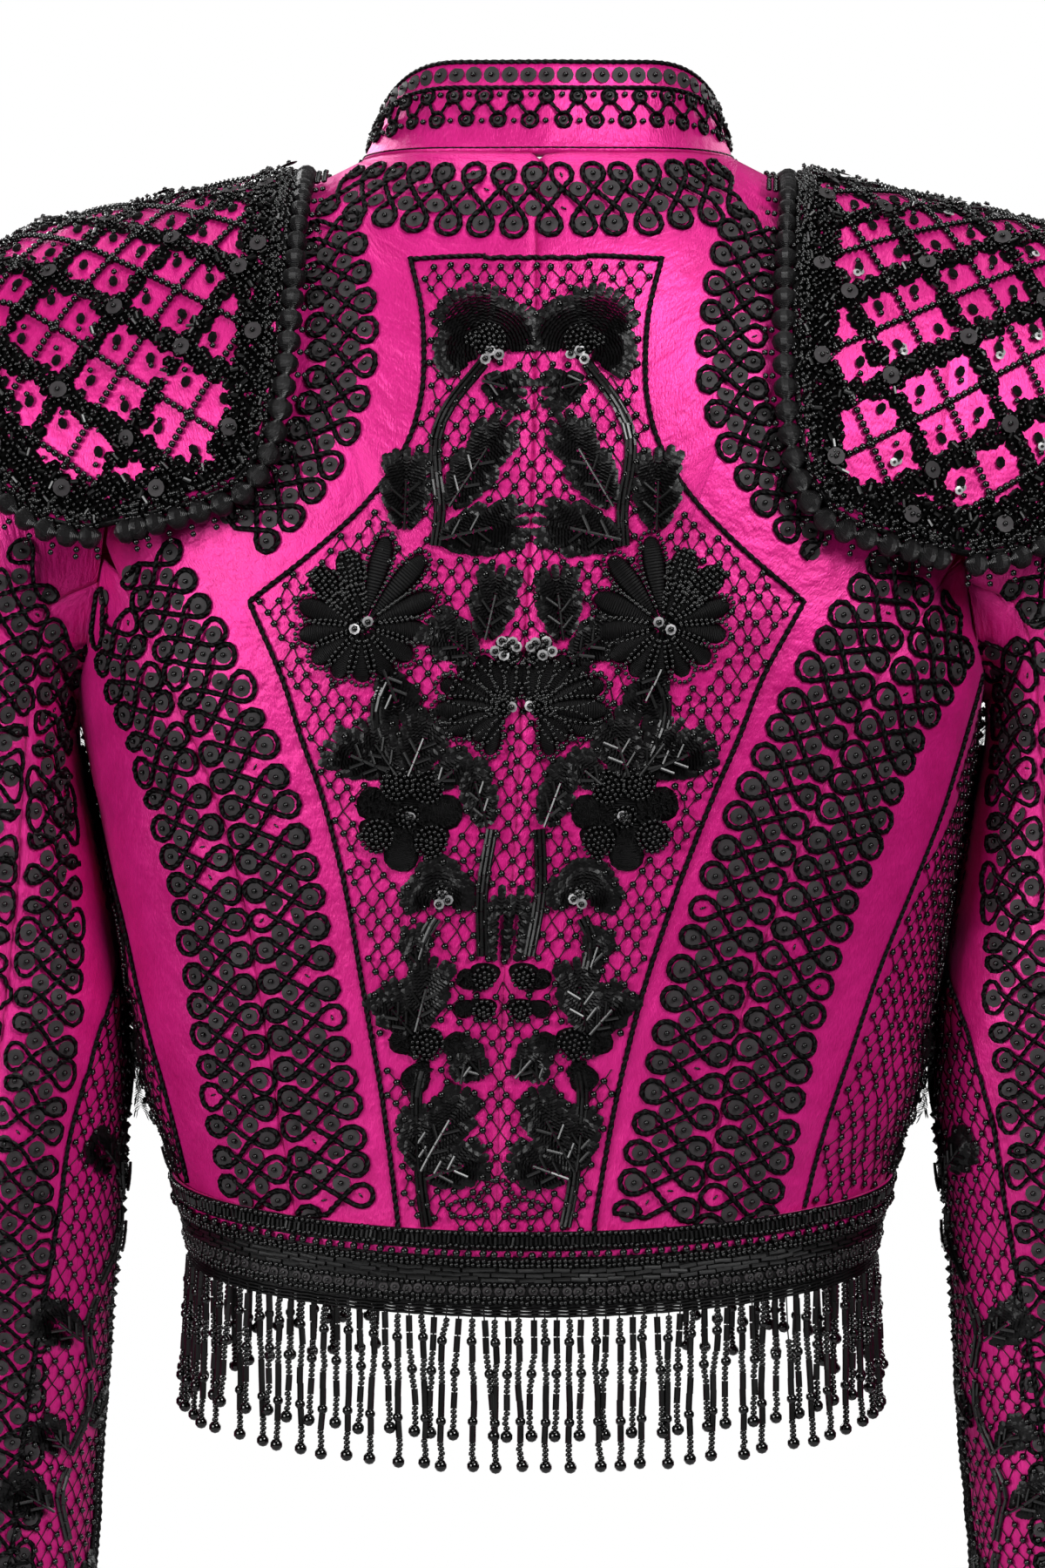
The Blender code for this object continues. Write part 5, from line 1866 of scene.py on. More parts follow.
# %% [markdown]
# ## Front edges
# The band of the neck goes on down both front edges to the hem, with a braid beside it. The rest
# of each front is plain satin.
# %% Front bands
front_trim = Trim(3, 2.0)
for side in (1, -1):
    edge = front_edge(side)[::-1]
    p = lean(torso(edge[:, 0], edge[:, 1]))
    low = p[:, 2] > hem_level(edge[:, 0]) + HEM_BAND - 2
    neck_line = lean(torso(*neck(side, True).T))
    line = resample(np.concatenate([neck_line, p[low][1:]]), 3.0)
    guide = settled(offset_line(line, body, 19.0 * side))
    first = np.argmax(guide[:, 1] < -14)
    looped_band(front_trim, resample(guide[first:], 3.0), body, 170 + side, squash=0.9, ends=3)
    braid(front_trim, offset_line(line, body, 1.6 * side), body)
    braid(front_trim, resample(offset_line(line, body, 40.0 * side)[first + 4:], 2.0), body)
front_trim.make("front_band")

# %% [markdown]
# ## Collar trimming
# From the top down: a braid on the edge, a row of flat sequins, a second braid, and a wavy cord
# that makes a small ring above and below by turns, with single beads between.
# %% Collar work
collar_trim = Trim()
collar_skin = skin["collar"]


def collar_line(v):
    p, _ = collar_point(np.linspace(0.004, 0.996, 400), np.full(400, v))
    return lean(p)


def edge_cord(heap, line, outward, radius, lift):
    line = resample(line, 1.3)
    lay_cord(heap, line + outward * lift, np.broadcast_to(outward, line.shape), radius)


edge_cord(collar_trim.cord, collar_line(0.985), np.array([0, 0, 1.0]), 0.95, 0.3)
braid(collar_trim, collar_line(0.70), collar_skin, 0.85, 0.7)
braid(collar_trim, collar_line(0.02), collar_skin, 0.35, 0.2)
row = resample(collar_line(0.845), 7.2)[1:-1]
at, n = collar_skin.near(row)
draw = np.random.default_rng(181)
sequins_on(collar_trim, at + n * 0.7, n, np.full(len(at), 3.3), draw, bare=0.02)

RING = 3.0
WAVE_PITCH = 12.3
wave_line = resample(collar_line(0.47), 0.5)
length = np.linalg.norm(np.diff(wave_line, axis=0), axis=1).sum()
waves_count = int(length / WAVE_PITCH)
pitch = length / waves_count
path, ring_spots, bead_spots = [], [], []
for k in range(2 * waves_count):
    s0 = (k + 0.5) * pitch / 2
    hand = 1 if k % 2 else -1
    a = np.linspace(-0.5, 2 * math.pi + 0.5, 13)
    grow = draw.uniform(0.9, 1.08)
    o = hand * (2.0 + RING * 0.95 * grow * (1 - np.cos(a)))
    path.append(np.stack([o, s0 + RING * grow * np.sin(a), np.where(a > 5.6, 1.2, 0)], -1))
    ring_spots.append((hand * (2.0 + RING), s0, 0.7))
    bead_spots.append((hand * 5.4, s0 + pitch / 2, 0.9))
line = rounded(np.concatenate(path), 2)
inside = (line[:, 1] > 1) & (line[:, 1] < length - 1)
at, n = to_cloth(wave_line, line[inside] * (-1, 1, 1), collar_skin, 0.7)
at = resample(at, 1.3)
_, n = collar_skin.near(at)
lay_cord(collar_trim.cord, at, n, 0.75)
for spots, size in ((ring_spots, 1.9), (bead_spots, 0)):
    spots = np.array(spots)
    spots = spots[(spots[:, 1] > 3) & (spots[:, 1] < length - 3)]
    at, n = to_cloth(wave_line, spots * (-1, 1, 1), collar_skin, 0.0)
    if size:
        sequins_on(collar_trim, at, n, np.full(len(at), size), draw, bare=0)
    else:
        collar_trim.seeds.sew(at, n, 1.35)
collar_trim.make("collar")

# %% [markdown]
# ## Beaded hem band
# A strip of satin 28 mm deep runs round the hem and is sewn over from edge to edge with rows of
# seeds, bugles and round beads. The strip is a grid carried onto the body's form, a little
# outside it, and each row of beads is spaced along the same line.
# %% Ways round the hem
TAPE_OFF = 2.2
HEM_END_X, HEM_END_Z = 62.0, -392.0
hem_end = float(angle_of(HEM_END_X, HEM_END_Z, True))
hem_angles = np.linspace(-hem_end, hem_end, 2401)
hem_line = torso(hem_angles, hem_level(hem_angles) - ARM_LEVEL)
hem_steps = walked(hem_line)
AROUND = hem_steps[-1]


def hem_point(s, up, off):
    """A point s along the hem, up above its edge and off outside the cloth."""
    a = np.interp(s, hem_steps, hem_angles)
    h = hem_level(a) - ARM_LEVEL + up
    n = torso_normal(a, h)
    return torso(a, h) + n * np.asarray(off)[..., None], n


s, up = np.meshgrid(np.linspace(0, AROUND, 241), np.array([-1.0, 6, 13, 20, HEM_BAND]))
p, n = hem_point(s, up, TAPE_OFF + 0 * s)
hem_tape = cloth("hem_band_satin", p, n, "hem")

# %% Rows of beads
hem_seeds, hem_bugles, hem_pearls, hem_rings = Heap(), Heap(), Heap(), Heap()
draw = np.random.default_rng(211)
HEM_LIFT = TAPE_OFF + 1.25
RIBBON = 0.5


def hem_row(up, pitch, off=HEM_LIFT, shift=0.0):
    """Places of a row of beads, outward directions and the way along the hem."""
    s = np.arange(pitch * (0.5 + shift), AROUND - 0.8, pitch)
    s = s + draw.normal(size=len(s)) * pitch * 0.06
    low = up + draw.normal(size=len(s)) * 0.25
    p, n = hem_point(s, low, np.full(len(s), off) + draw.uniform(-0.15, 0.15, len(s)))
    before, after = (hem_point(s + step, low, np.full(len(s), off))[0] for step in (-1, 1))
    return lean(p), n, unit(after - before)


def ribbon(heap, low, high, off):
    """A flat tape of laid thread along the hem, closed all round."""
    s = np.linspace(0.3, AROUND - 0.3, 300)
    ring = ((low, off), (high, off), (high, off + RIBBON), (low, off + RIBBON))
    points = np.stack([lean(hem_point(s, up + 0 * s, out + 0 * s)[0]) for up, out in ring], 1)
    k, i = (np.arange(len(s) - 1) * 4)[:, None], np.arange(4)
    j = (i + 1) % 4
    faces = np.stack([k + i, k + 4 + i, k + 4 + j, k + j], -1).reshape(-1, 4)
    heap.add(points.reshape(-1, 3), faces, np.zeros((len(faces) * 4, 2)))


hem_ground = Heap()
ribbon(hem_ground, -0.6, 18.2, TAPE_OFF + 0.1)
ribbon(hem_ground, 20.6, 28.2, TAPE_OFF + 0.1)
hem_ground.make("hem_band_ground", laid_silk, is_smooth=False)
for up in (27.2, 22.2, 16.6, 14.9, 7.3, 2.6, 0.6):
    p, n, ahead = hem_row(up, 2.1)
    hem_seeds.sew(p, n, draw.uniform(1.05, 1.2, (len(p), 1)) * (1, 1, 1))
p, n, ahead = hem_row(24.7, 1.75)
hem_bugles.copies(BUGLE, p, pointing(tipped(np.cross(n, ahead), draw, 0.07)), (1.5, 1.5, 3.1))
p, n, ahead = hem_row(19.4, 4.9, HEM_LIFT + 0.8)
hem_pearls.copies(PEARL, p, frames_on(n), 1.65)
for k, up in enumerate((13.0, 11.1, 9.2)):
    p, n, ahead = hem_row(up, 7.0, shift=0.5 * (k % 2))
    hem_bugles.copies(BUGLE, p, pointing(tipped(ahead, draw, 0.05)), (1.6, 1.6, 6.5))
p, n, ahead = hem_row(4.9, 4.4, HEM_LIFT + 0.2)
axes = frames_on(tipped(n, draw, 0.12))
hem_rings.copies(SMALL_SEQUIN, p, axes, (1.9, 1.9, 3.0))
hem_seeds.copies(SEWN_SEED, p + n * 0.7, axes, 0.95)
hem_seeds.make("hem_band_seeds", glass, ["hem_band"])
hem_bugles.make("hem_band_bugles", cut_glass)
hem_pearls.make("hem_band_pearls", glass)
hem_rings.make("hem_band_sequins", dull)

# %% [markdown]
# ## Beaded fringe
# The strands hang from a narrow tape at the hem, 4.75 mm apart, long and short by turns. Each is
# a thread strung with seeds, bugles and three or two large beads; the order is the same on every
# long strand and on every short one. They hang a little unevenly, as strung glass does.
# %% Strands
STRAND_PITCH, STRAND_LONG, STRAND_SHORT, STRIP = 4.75, 62.0, 50.0, 3.0
STRAND_OFF = HEM_OFF + 1.2
STRAND_ROOT = 2.3
BARE_STRAND = 42
LONG_ORDER = "ssssPbsssssbbPbssssG"
SHORT_ORDER = "bbsssPsssbssssG"
BEAD_SIZES = {"s": (1.48, 1.85), "b": (1.26, 6.6), "P": (2.1, 3.7), "G": (2.5, 4.5)}
fringe_seeds, fringe_tubes, fringe_pearls = Heap(), Heap(), Heap()
fringe_thread, fringe_tape = Heap(), Heap()
STRUNG = (
    ("s", fringe_seeds, SEED), ("b", fringe_tubes, BUGLE),
    ("P", fringe_pearls, PEARL), ("G", fringe_pearls, PEARL),
)
draw = np.random.default_rng(223)


def hem_drop(s, drop):
    """A point hanging below the hem."""
    a = np.interp(s, hem_steps, hem_angles)
    h = hem_level(a) - ARM_LEVEL
    n = torso_normal(a, h) * (1, 1, 0)
    p = torso(a, h) + unit(n) * STRAND_OFF
    return p - np.array([0, 0, 1.0]) * np.asarray(drop)[..., None], unit(n)


strands = int(round(AROUND / STRAND_PITCH))
for i in range(strands):
    order = LONG_ORDER if i % 2 == 0 else SHORT_ORDER
    full = STRAND_LONG if i % 2 == 0 else STRAND_SHORT
    s0 = (i + 0.5) / strands * AROUND
    steps = np.array([BEAD_SIZES[kind][1] for kind in order])
    ends = np.cumsum(steps)
    middles = (ends - steps / 2) * (full - STRIP) / ends[-1] + STRIP
    sway = draw.normal(size=2) * (0.020, 0.016) + (0, 0.03)
    kink = np.cumsum(draw.normal(size=(len(order) + 1, 2)) * (0.22, 0.16), axis=0)
    root, n = hem_drop(np.array([s0]), np.array([STRAND_ROOT]))
    root, n = lean(root)[0], n[0]
    side_way = np.cross(n, (0, 0, 1.0))
    drop = np.concatenate([[0], middles]) + draw.uniform(-0.6, 1.0)
    drop[0] = 0
    reach = drop[:, None]
    at = root - (0, 0, 1.0) * reach + side_way * (sway[0] * reach + kink[:, :1]) + n * (
        sway[1] * reach + np.abs(kink[:, 1:])
    )
    ways = unit(np.gradient(at, axis=0))
    knots = at[[*range(0, len(at) - 1, 3), -1]]
    lay_threads(fringe_thread, knots[:-1], knots[1:], np.broadcast_to(n, (len(knots) - 1, 3)), 0.3)
    at, ways = at[1:], ways[1:]
    kinds = np.array(list(order))
    for kind, heap, model in STRUNG:
        here = kinds == kind
        if i == BARE_STRAND:
            here &= middles > 20
        r, long = BEAD_SIZES[kind]
        size = (r * 2, r * 2, long * 0.96) if kind == "b" else (r, r, r)
        heap.copies(model, at[here], pointing(ways[here]), size)
s = np.linspace(0.6, AROUND - 0.6, 260)
p, n = hem_drop(s, np.full(len(s), STRAND_ROOT + STRIP / 2))
p = lean(p)
for up in (-0.9, 0.4, 1.7, 2.9):
    lay_cord(fringe_tape, p + (0, 0, up), n, 0.8, 3)
fringe_tape.make("fringe_tape", laid_silk, ["fringe"], "glass_beads")
fringe_thread.make("fringe_threads", net_thread, slot_name="glass_beads")
fringe_seeds.make("fringe_seeds", glass)
fringe_tubes.make("fringe_bugles", cut_glass)
fringe_pearls.make("fringe_pearls", glass)

# %% [markdown]
# ## Work on the shoulder pieces
# Each shoulder piece is edged with silk-wrapped rolls and a pair of beads at every joint. Inside
# them lies a border crusted with seeds and short bugles, and the middle is a lattice of thick
# crusted lines, each square of it quartered by single rows of seeds.
# %% Places on a shoulder piece
ROLL_PITCH, ROLL_RADIUS = 9.0, 4.3
LATTICE = {
    "left": np.array([(162.6, 95.7), (-27.0, 29.0), (20.5, 28.0)]),
    "right": np.array([(165.3, 98.3), (-30.0, 28.5), (16.8, 29.3)]),
}
BORDER, CRUST_LINE, CRUST_CROSSING, CRUST_PITCH = 14.5, 3.3, 4.5, 2.55
TUBE_SHARE, DARK_SHARE, HIGH_SHARE = 0.12, 0.72, 0.22
RIM_SEEDS, RIM_SEQUINS = 369, 20
ROW_PITCH, ROW_SEED = 2.95, (1.62, 1.62, 1.9)
EDGE_TURNS = np.linspace(0, 360, 721)
EDGE = np.stack(flap_outline(EDGE_TURNS), -1)


def to_edge(x, c):
    """How far each point is from the outline, in a flat plan of the piece."""
    gap = np.array([x, c]).T[:, None] - EDGE[None]
    far = np.sqrt(np.min(np.sum(gap**2, -1), 1))
    return np.where(flap_share(x, c) < 1, far, -far)


def on_flap(x, c, word, side):
    x, c = np.asarray(x, float), np.asarray(c, float)
    f = np.clip(flap_share(x, c), 0, 1)
    p, n = flap_skin(x, c, f, FLAP_SLIDE[word])
    mirror = np.array([side, 1, 1])
    return lean(p * mirror), n * mirror


def lattice_place(x, c, word):
    """The place of each point in the lattice, in whole and part squares both ways."""
    origin, one, other = LATTICE[word]
    u, v = np.linalg.solve(np.stack([one, other], -1), np.array([x, c]) - origin[:, None])
    area = abs(one[0] * other[1] - one[1] * other[0])
    return u, v, area / np.linalg.norm(other), area / np.linalg.norm(one)


def to_line(u, scale):
    """Distance from lattice lines in millimetres."""
    return np.abs(u - np.round(u)) * scale


def on_plan(q):
    """The places that lie in the box round a shoulder piece."""
    return q[(np.abs(q[:, 0] - FLAP_X) < FLAP_HALF) & (np.abs(q[:, 1]) < FLAP_LONG)]


def lattice_points(word, steps, margin):
    """The places at some steps both ways along the lattice that lie inside the border."""
    origin, one, other = LATTICE[word]
    a, b = np.meshgrid(steps, steps)
    q = on_plan(origin + one * a.ravel()[:, None] + other * b.ravel()[:, None])
    return q[to_edge(*q.T) > BORDER + margin]


# %% Crust, lattice and studs
def crust_of(word, side, draw):
    """Seeds, bugles and the dark thread under them, on the border and the lattice."""
    seeds, tubes, under = Heap(), Heap(), Heap()
    rows = np.arange(-FLAP_LONG, FLAP_LONG, CRUST_PITCH * 0.866)
    x, c = np.meshgrid(np.arange(FLAP_X - FLAP_HALF, FLAP_X + FLAP_HALF, CRUST_PITCH), rows)
    x = x + (np.arange(len(rows)) % 2)[:, None] * CRUST_PITCH / 2
    x, c = (v.ravel() + draw.normal(size=v.size) * 0.3 for v in (x, c))
    inside = flap_share(x, c) < 0.995
    x, c = x[inside], c[inside]
    edge = to_edge(x, c)
    u, v, wide, high = lattice_place(x, c, word)
    line = np.minimum(to_line(u, wide), to_line(v, high))
    crossing = np.hypot(to_line(u, wide), to_line(v, high))
    uneven = 0.7 * np.sin(x * 0.9 + 2 * np.sin(c * 0.4)) + draw.normal(size=len(x)) * 0.3
    crusted = (edge < BORDER + uneven) | (line < CRUST_LINE + uneven * 0.6) | (crossing < CRUST_CROSSING)
    x, c = x[crusted], c[crusted]
    p, n = on_flap(x, c, word, side)
    dark = draw.random(len(x)) < DARK_SHARE
    lying = any_way_round(n[dark], draw)
    under.copies(GROUND, p[dark] + n[dark] * draw.uniform(0.35, 0.6, (dark.sum(), 1)), lying, 2.5)
    is_tube = draw.random(len(x)) < TUBE_SHARE
    axes = any_way_round(tipped(n, draw, 0.35), draw)
    lift = 1.1 + draw.uniform(0, 0.9, len(x))
    at = p + n * lift[:, None]
    round_one = ~is_tube
    sizes = draw.uniform(0.9, 1.15, (round_one.sum(), 1)) * (1, 1, 1)
    seeds.copies(CHIP, at[round_one], axes[round_one], sizes)
    lying = unit(np.cross(n, draw.normal(size=n.shape)) + n * draw.uniform(-0.3, 0.3, (len(n), 1)))
    tubes.copies(BUGLE, (at + n * 0.5)[is_tube], pointing(lying[is_tube]), (1.5, 1.5, 3.1))
    high = draw.random(len(x)) < HIGH_SHARE
    shifted = at + n * draw.uniform(1.2, 2.0, (len(x), 1)) + np.cross(n, axes[..., 0]) * 0.8
    seeds.copies(CHIP, shifted[high], axes[high], 1.0)
    return seeds, tubes, under


def seeds_at(heap, x, c, word, side, size, lift=1.5):
    if len(x):
        p, n = on_flap(x, c, word, side)
        heap.sew(p + n * lift, n, size)


def lattice_rows(heap, word, side):
    """Single rows of seeds that halve the squares of the lattice both ways."""
    origin, a, b = LATTICE[word]
    for one, other in ((a, b), (b, a)):
        for k in np.arange(-12, 12) + 0.5:
            q = on_plan(origin + other * k + one * np.arange(-12, 12, 0.02)[:, None])
            q = q[to_edge(*q.T) > BORDER - 1] if len(q) else q
            if len(q) < 2:
                continue
            p, n = on_flap(*q.T, word, side)
            run = resample(np.concatenate([p, n], -1), ROW_PITCH)
            heap.copies(SEWN_SEED, run[:, :3] + run[:, 3:] * 1.5, frames_on(run[:, 3:]), ROW_SEED)


def studs_of(word, side, draw, seeds, knots, shine):
    """A thick knot and a bead or two in the middle of every small square."""
    q = lattice_points(word, np.arange(-24, 24) / 2 + 0.25, 2)
    q = q + draw.normal(size=q.shape) * 0.7
    p, n = on_flap(*q.T, word, side)
    axes = frames_on(n, turn=draw.uniform(-0.7, 0.7, len(q)))
    knots.copies(PEARL, p + n * 1.2, axes, (1.9, 2.6, 1.4))
    more = q + draw.uniform(-1, 1, q.shape) * 1.2 + np.array([0, -4.0]) * draw.choice([-1, 1], (len(q), 1))
    seeds_at(seeds, *more[draw.random(len(q)) < 0.92].T, word, side, 1.35)
    # Some squares get a pair of pale sequins whose grey is a painted glint: 35 in 100 on the right piece,
    # which faces the key lamp, and 6 in 100 on the left.
    bright = draw.random(len(q)) < (0.35 if side < 0 else 0.06)
    for off, lift in ((2.0, 1.7), (3.6, 2.3)):
        spot = (p + axes[..., 1] * off + axes[..., 0] * 0.7 * (off - 3) + n * lift)[bright]
        shine.copies(SMALL_SEQUIN, spot, axes[bright], (1.75, 1.75, 3.0))
        seeds.copies(SEWN_SEED, spot + n[bright] * 0.3, axes[bright], 0.72)


for side, word in SIDES:
    draw = np.random.default_rng(240 + side)
    seeds, tubes, under = crust_of(word, side, draw)
    knots, shine, pearls, rolls, discs = Heap(), Heap(), Heap(), Heap(), Heap()
    lattice_rows(seeds, word, side)
    for inwards, lift in ((-1.2, 0.3), (1.0, 1.4), (3.2, 1.7)):
        t, _ = even_turns(RIM_SEEDS, -inwards)
        x, c = flap_outline(t, -inwards)
        x, c = x + draw.normal(size=len(x)) * 0.6, c + draw.normal(size=len(c)) * 0.6
        seeds_at(seeds, x, c, word, side, 1.25, lift)
    studs_of(word, side, draw, seeds, knots, shine)
    t, _ = even_turns(RIM_SEQUINS, -8.0)
    around_it = np.stack(flap_outline(t, -8.0), -1) + draw.normal(size=(RIM_SEQUINS, 2)) * 1.2
    q = np.concatenate([lattice_points(word, np.arange(-12, 12), -3), around_it])
    p, n = on_flap(*q.T, word, side)
    axes = frames_on(tipped(n, draw, 0.12))
    discs.copies(SEQUIN, p + n * 3.6, axes, (3.5, 3.5, 4.0))
    seeds.copies(SEWN_SEED, p + n * 4.3, axes, 1.1)

    mirror = np.array([side, 1, 1])
    count = int(round(even_turns(10, ROLL_RADIUS)[1] / ROLL_PITCH))
    for part in (0, 0.5):
        t, _ = even_turns(2 * count, ROLL_RADIUS)
        t = t[1::2] if part else t[::2]
        x, c = flap_outline(t, ROLL_RADIUS + 0.6)
        c = c + FLAP_SLIDE[word]
        n = flap_normal(x, c)
        middle = flap_point(x, c) - n * FLAP_THICK / 2
        way = unit(np.roll(middle, -1, 0) - np.roll(middle, 1, 0))
        out = unit(np.cross(way, n))
        from_middle = flap_point(x, c) - flap_point(FLAP_X, FLAP_SLIDE[word])
        away = np.sign(np.sum(out * from_middle, -1, keepdims=True))
        slim = np.clip((112 - x) / 8, 0, 1) * np.clip((105 - np.abs(c)) / 20, 0, 1)
        if not part:
            thick = (2 * ROLL_RADIUS * (1.17 - 0.22 * slim))[:, None] * draw.uniform(0.97, 1.03, (len(x), 1))
            sizes = np.concatenate([thick, thick, np.full((len(x), 1), ROLL_PITCH * 1.02)], 1)
            rolls.copies(ROLL, lean(middle * mirror), pointing(way * mirror), sizes)
        else:
            for far, size in ((5.2, 1.45), (7.9, 1.35)):
                at = lean((middle + out * away * far + n * 0.4) * mirror)
                pearls.copies(SEED, at, frames_on(n * mirror), size)
    t, _ = even_turns(300, 0.6)
    rim, n = on_flap(*flap_outline(t, 0.4), word, side)
    rim = np.concatenate([rim, rim[:2]]) - np.concatenate([n, n[:2]]) * 1.5
    lay_cord(knots, rim, np.concatenate([n, n[:2]]), 1.9)
    rolls.make(f"hombrera_rolls_{word}_silk", roll_silk, [f"hombrera_rolls_{word}"])
    seeds.make(f"hombrera_seeds_{word}", glass)
    tubes.make(f"hombrera_bugles_{word}", cut_glass)
    under.make(f"hombrera_ground_{word}", laid_silk, is_smooth=False)
    discs.make(f"hombrera_sequins_{word}", dull)
    knots.make(f"hombrera_knots_{word}", laid_silk)
    shine.make(f"hombrera_bright_sequins_{word}", clear)
    pearls.make(f"hombrera_pearls_{word}", glass)

# %% [markdown]
# ## Sleeve work
# A looped band runs down each side of the sleeve's back seam. After a plain strip of satin comes
# a panel of net down the inside of the arm, between two braids, with leaves and bugle stems on
# it. A beaded edge closes the panel towards the front.
# %% Sleeve lines
ARM_BAND_OFF = 16.6
NET_INNER = table(
    (-225, 150), (-262, 157), (-305, 166), (-336, 172), (-368, 180),
    (-415, 188), (-462, 196), (-525, 205), (-551, 207), (-603, 213),
)
NET_OUTER_TURN = table(
    (-225, 222), (-300, 226), (-400, 214), (-455, 188), (-501, 176), (-551, 171), (-603, 168)
)


def sleeve_line(turn_of):
    """A line down the left sleeve at turns given by level."""
    rows = np.linspace(1.5, SLEEVE_ROWS, 400)
    turns = np.full(400, 150.0)
    for _ in range(3):
        z = sleeve_point(rows, turns)[:, 2]
        turns = turn_of(z)
    p = sleeve_point(rows, turns)
    return resample(p[(p[:, 2] < -228) & (p[:, 2] > -602)], 2.5)


def turn_at(x, z):
    """The turn of the left sleeve's back face that is seen at (x, z)."""
    turns = np.linspace(60, 178, 120)
    rows = np.linspace(1.0, SLEEVE_ROWS, 300)
    p = sleeve_point(rows[:, None], turns[None, :])
    gap = np.hypot(p[..., 0] - x, p[..., 2] - z)
    return turns[np.unravel_index(np.argmin(gap), gap.shape)[1]]


INNER_TURN = table(*((z, turn_at(x, z)) for z, x in NET_INNER))
print("turns of the inner braid:", np.round(INNER_TURN[:, 1]))


def inner_turn(z):
    return smooth(INNER_TURN, z)


def outer_turn(z):
    return smooth(NET_OUTER_TURN, z)


LEVEL_STEP, TURN_STEP = 3.0, 5.0
LEVELS, LEVEL_TURNS = np.arange(-215.0, -605.0, -LEVEL_STEP), np.arange(120.0, 250.0, TURN_STEP)
level_rows = np.linspace(1.0, SLEEVE_ROWS, 300)
ROW_AT = np.stack([
    np.interp(-LEVELS, -sleeve_point(level_rows, turn)[:, 2], level_rows) for turn in LEVEL_TURNS
], 1)


def sleeve_at(z, turn):
    """The point of the inner side of the left sleeve at a level and a turn."""
    z, turn = np.broadcast_arrays(np.asarray(z, float), np.asarray(turn, float))
    i = np.clip((LEVELS[0] - z) / LEVEL_STEP, 0, len(LEVELS) - 1.001)
    j = np.clip((turn - LEVEL_TURNS[0]) / TURN_STEP, 0, len(LEVEL_TURNS) - 1.001)
    a, b = i.astype(int), j.astype(int)
    u, v = i - a, j - b
    top = ROW_AT[a, b] * (1 - v) + ROW_AT[a, b + 1] * v
    low = ROW_AT[a + 1, b] * (1 - v) + ROW_AT[a + 1, b + 1] * v
    return sleeve_point(top * (1 - u) + low * u, turn)


def sleeve_place(mirror, ground):
    """Places given as millimetres round the arm from the middle of the net, and level."""
    def place(x, z):
        x, z = np.asarray(x, float), np.asarray(z, float)
        middle = (inner_turn(z) + outer_turn(z)) / 2
        one = np.linalg.norm(sleeve_at(z, middle + 3) - sleeve_at(z, middle - 3), axis=-1) / 6
        p = sleeve_at(z, middle + x / one)
        return ground.near(lean((p * mirror).reshape(-1, 3)))

    return place


def sleeve_rows(mirror, ground):
    rows = []
    for k, z in enumerate(np.arange(-232, -596, -NET_DOWN)):
        a = np.linspace(inner_turn(z), outer_turn(z), 30)
        p = sleeve_at(np.full(30, float(z)), a)
        d = walked(p)
        c = np.arange(0, 38) + 0.5 * (k % 2)
        s = 2.2 + c * NET_ACROSS
        keep = s < d[-1] - 1.5
        s, c = s[keep], c[keep]
        free = clear_of_motifs(s - d[-1] / 2, z)
        at, n = ground.near(lean(read_at(s[free], d, p) * mirror))
        rows.append((at, n, c[free]))
    return rows


# %% Bands, braids, leaves and net of both sleeves
for side, word in SIDES:
    mirror = np.array([side, 1, 1])
    ground = skin[f"sleeve_{word}"]
    trim = Trim(3, 1.8)
    rows = np.linspace(1.2, SLEEVE_ROWS - 0.02, 200)
    seam = resample(lean(sleeve_point(rows, sleeve_back(rows)) * mirror), 3.0)
    for k, off in enumerate((-ARM_BAND_OFF, ARM_BAND_OFF)):
        guide = settled(offset_line(seam, ground, off))
        looped_band(trim, guide, ground, 300 + 10 * side + k, ends=4, squash=0.95)
    for turn_of in (inner_turn, outer_turn):
        braid(trim, lean(sleeve_line(turn_of) * mirror), ground, 1.05)
    z = np.linspace(-228, -601, 160)
    braid(trim, lean(sleeve_at(z, outer_turn(z) + 7.5) * mirror), ground, 1.5, 1.2)
    for turn, size in ((10.5, 1.25), (5.0, 1.15)):
        at, n = ground.near(resample(lean(sleeve_at(z, outer_turn(z) + turn) * mirror), 2.6))
        trim.seeds.sew(at + n * 0.9, n, size)
    for up, radius in ((1.0, 1.3), (4.0, 1.0)):
        t = np.linspace(0, 360, 181)
        braid(trim, lean(sleeve_point(np.full(181, SLEEVE_ROWS - up / 62), t) * mirror), ground, radius)

    covered.clear()
    s = Spray(sleeve_place(mirror, ground), 1, 350 + side)
    way = -1
    for k, z0 in enumerate(range(-256, -580, -34)):
        reach = float(np.linalg.norm(sleeve_at(z0, inner_turn(z0)) - sleeve_at(z0, outer_turn(z0)))) / 2
        sway = 0.22 * reach * way
        s.stem([(sway * 0.4, z0 + 15), (sway, z0 + 4), (-sway * 0.4, z0 - 14)], 2)
        s.leaf(sway + 3 * way, z0 - 2, 58 * way, min(22, reach + 5), 13, 4)
        if k % 3 == 1:
            s.leaf(-sway * 0.5 - 2 * way, z0 - 12, -48 * way, min(17, reach), 10, 3)
        way = -way
    garland(s, -216, -372, lambda z: 181.0 - (inner_turn(z) + outer_turn(z)) / 2)
    s.make("sleeve", word, "leaf_beads")
    net_over(sleeve_rows(mirror, ground))
    trim.make("sleeve", f"_{word}")

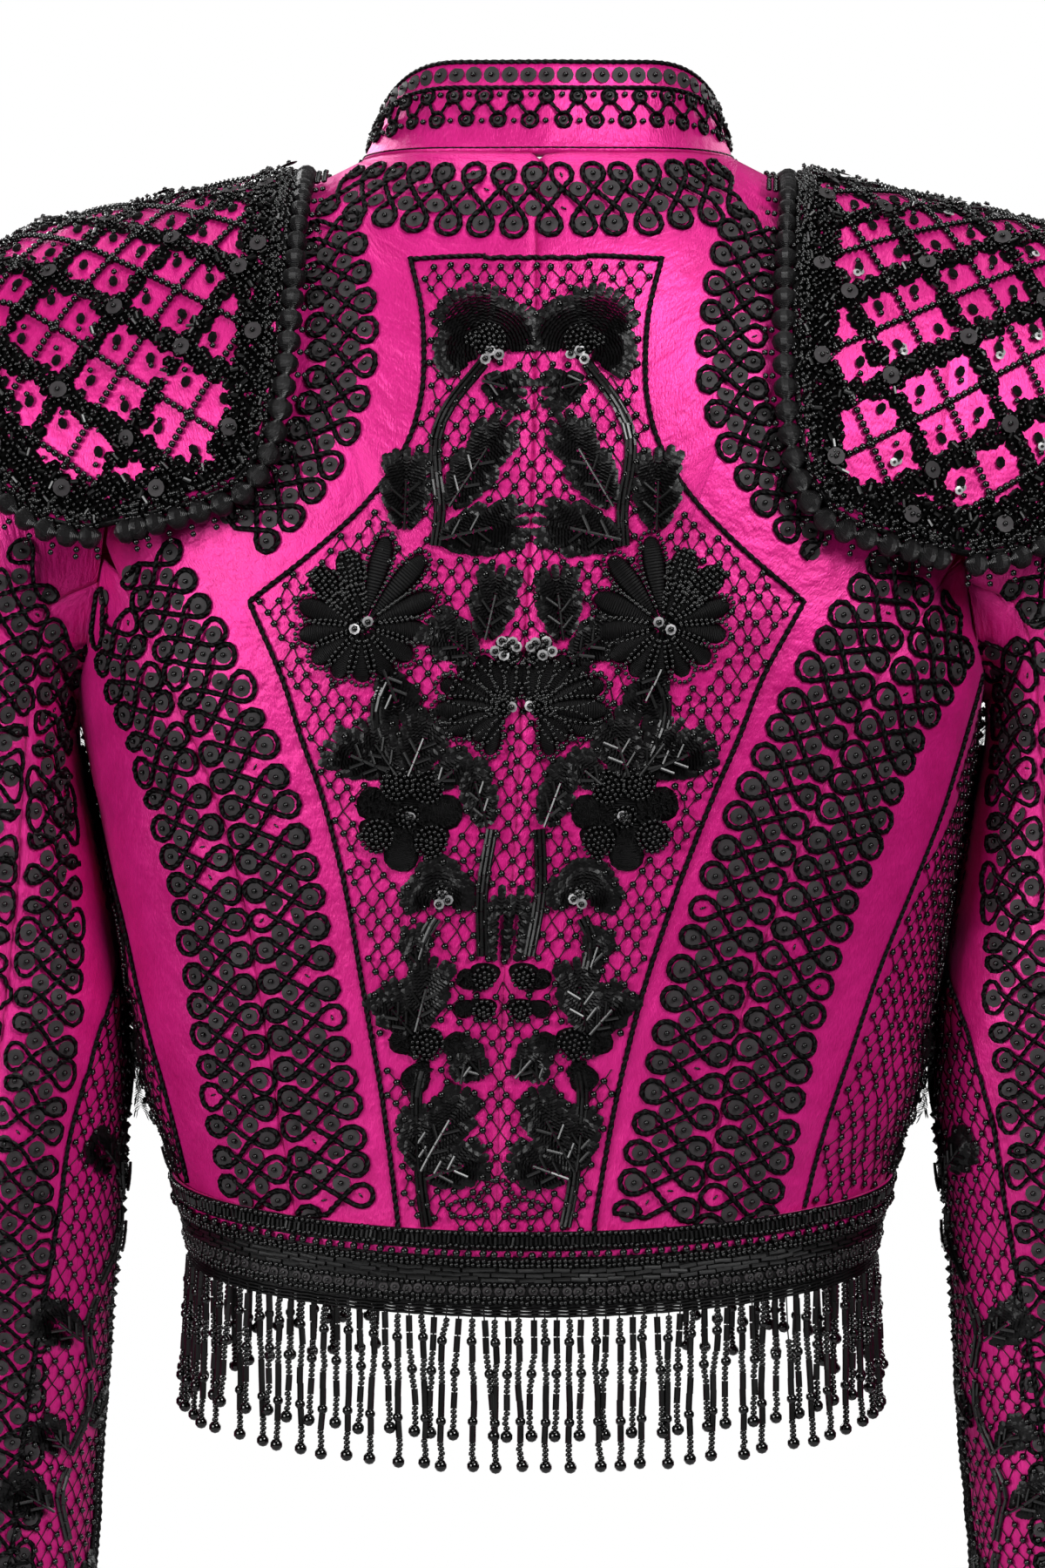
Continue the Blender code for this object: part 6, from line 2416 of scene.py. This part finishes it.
# %% [markdown]
# ## Making up
# The braids and nets are joined, and every sheet of cloth gets its thickness and a lining. The
# cut of each piece of cloth is listed as a maker would lay it on the table: width, length and
# the flat area between its curved edges, in metres.
# %% Braids, nets and cloth
outline.cord.make("back_braids", cord_silk)
net.make("net_threads", net_thread)
net_beads.make("net_beads", glass)
for o in [*panels, *sleeves, collar, *flaps.values(), hem_tape]:
    finish_cloth(o)
for o in [*panels, *sleeves, collar, *flaps.values()]:
    dress(o, "satin", o.name.replace("_satin", "").replace("_pad", ""))
dress(hem_tape, "satin")

# %% The cut of each sheet
CUT = {
    "back": (0.188, 0.478, 0.066),
    "side_back": (0.168, 0.300, 0.039),
    "front": (0.172, 0.445, 0.058),
    "sleeve_upper": (0.262, 0.582, 0.112),
    "sleeve_under": (0.152, 0.462, 0.057),
    "collar": (0.436, 0.034, 0.013),
    "hem_band": (0.627, 0.030, 0.0183),
}
HUNG_FROM = {
    "side_back": "back", "sleeve_upper": "back", "sleeve_under": "side_back",
    "back": "collar", "front": "collar",
}
for o in [*panels, *sleeves]:
    kind, word = o.name.removesuffix("_satin").rsplit("_", 1)
    above = HUNG_FROM[kind]
    above = f"{above}_satin" if above == "collar" else f"{above}_{word}_satin"
    width, length, area = CUT[kind]
for o, kind, held, below in (
    (collar, "collar", "draped", "back_left_satin"), (hem_tape, "hem_band", "laid", "back_left_satin"),
):
    width, length, area = CUT[kind]
print("sheets and pads:", len(panels) + len(sleeves) + len(flaps) + 2)

# %% Floor
FLOOR_COLOUR, FLOOR_RADIUS = (0.50, 0.50, 0.51), 0.55
floor_finish, _ = start("pale_floor", Base_Color=(*FLOOR_COLOUR, 1), Roughness=0.9, Specular_IOR_Level=0.1)
alone()
bpy.ops.mesh.primitive_circle_add(
    vertices=96, radius=FLOOR_RADIUS, fill_type="NGON", location=(0, 0, FLOOR_LEVEL)
)
floor = bpy.context.object
floor.name = floor.data.name = "floor"
floor.data.materials.append(floor_finish)
floor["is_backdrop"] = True

# %% Sizes
sizes = {"cad": [list(v) for v in cad_box], "visual": [list(v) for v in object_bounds()]}
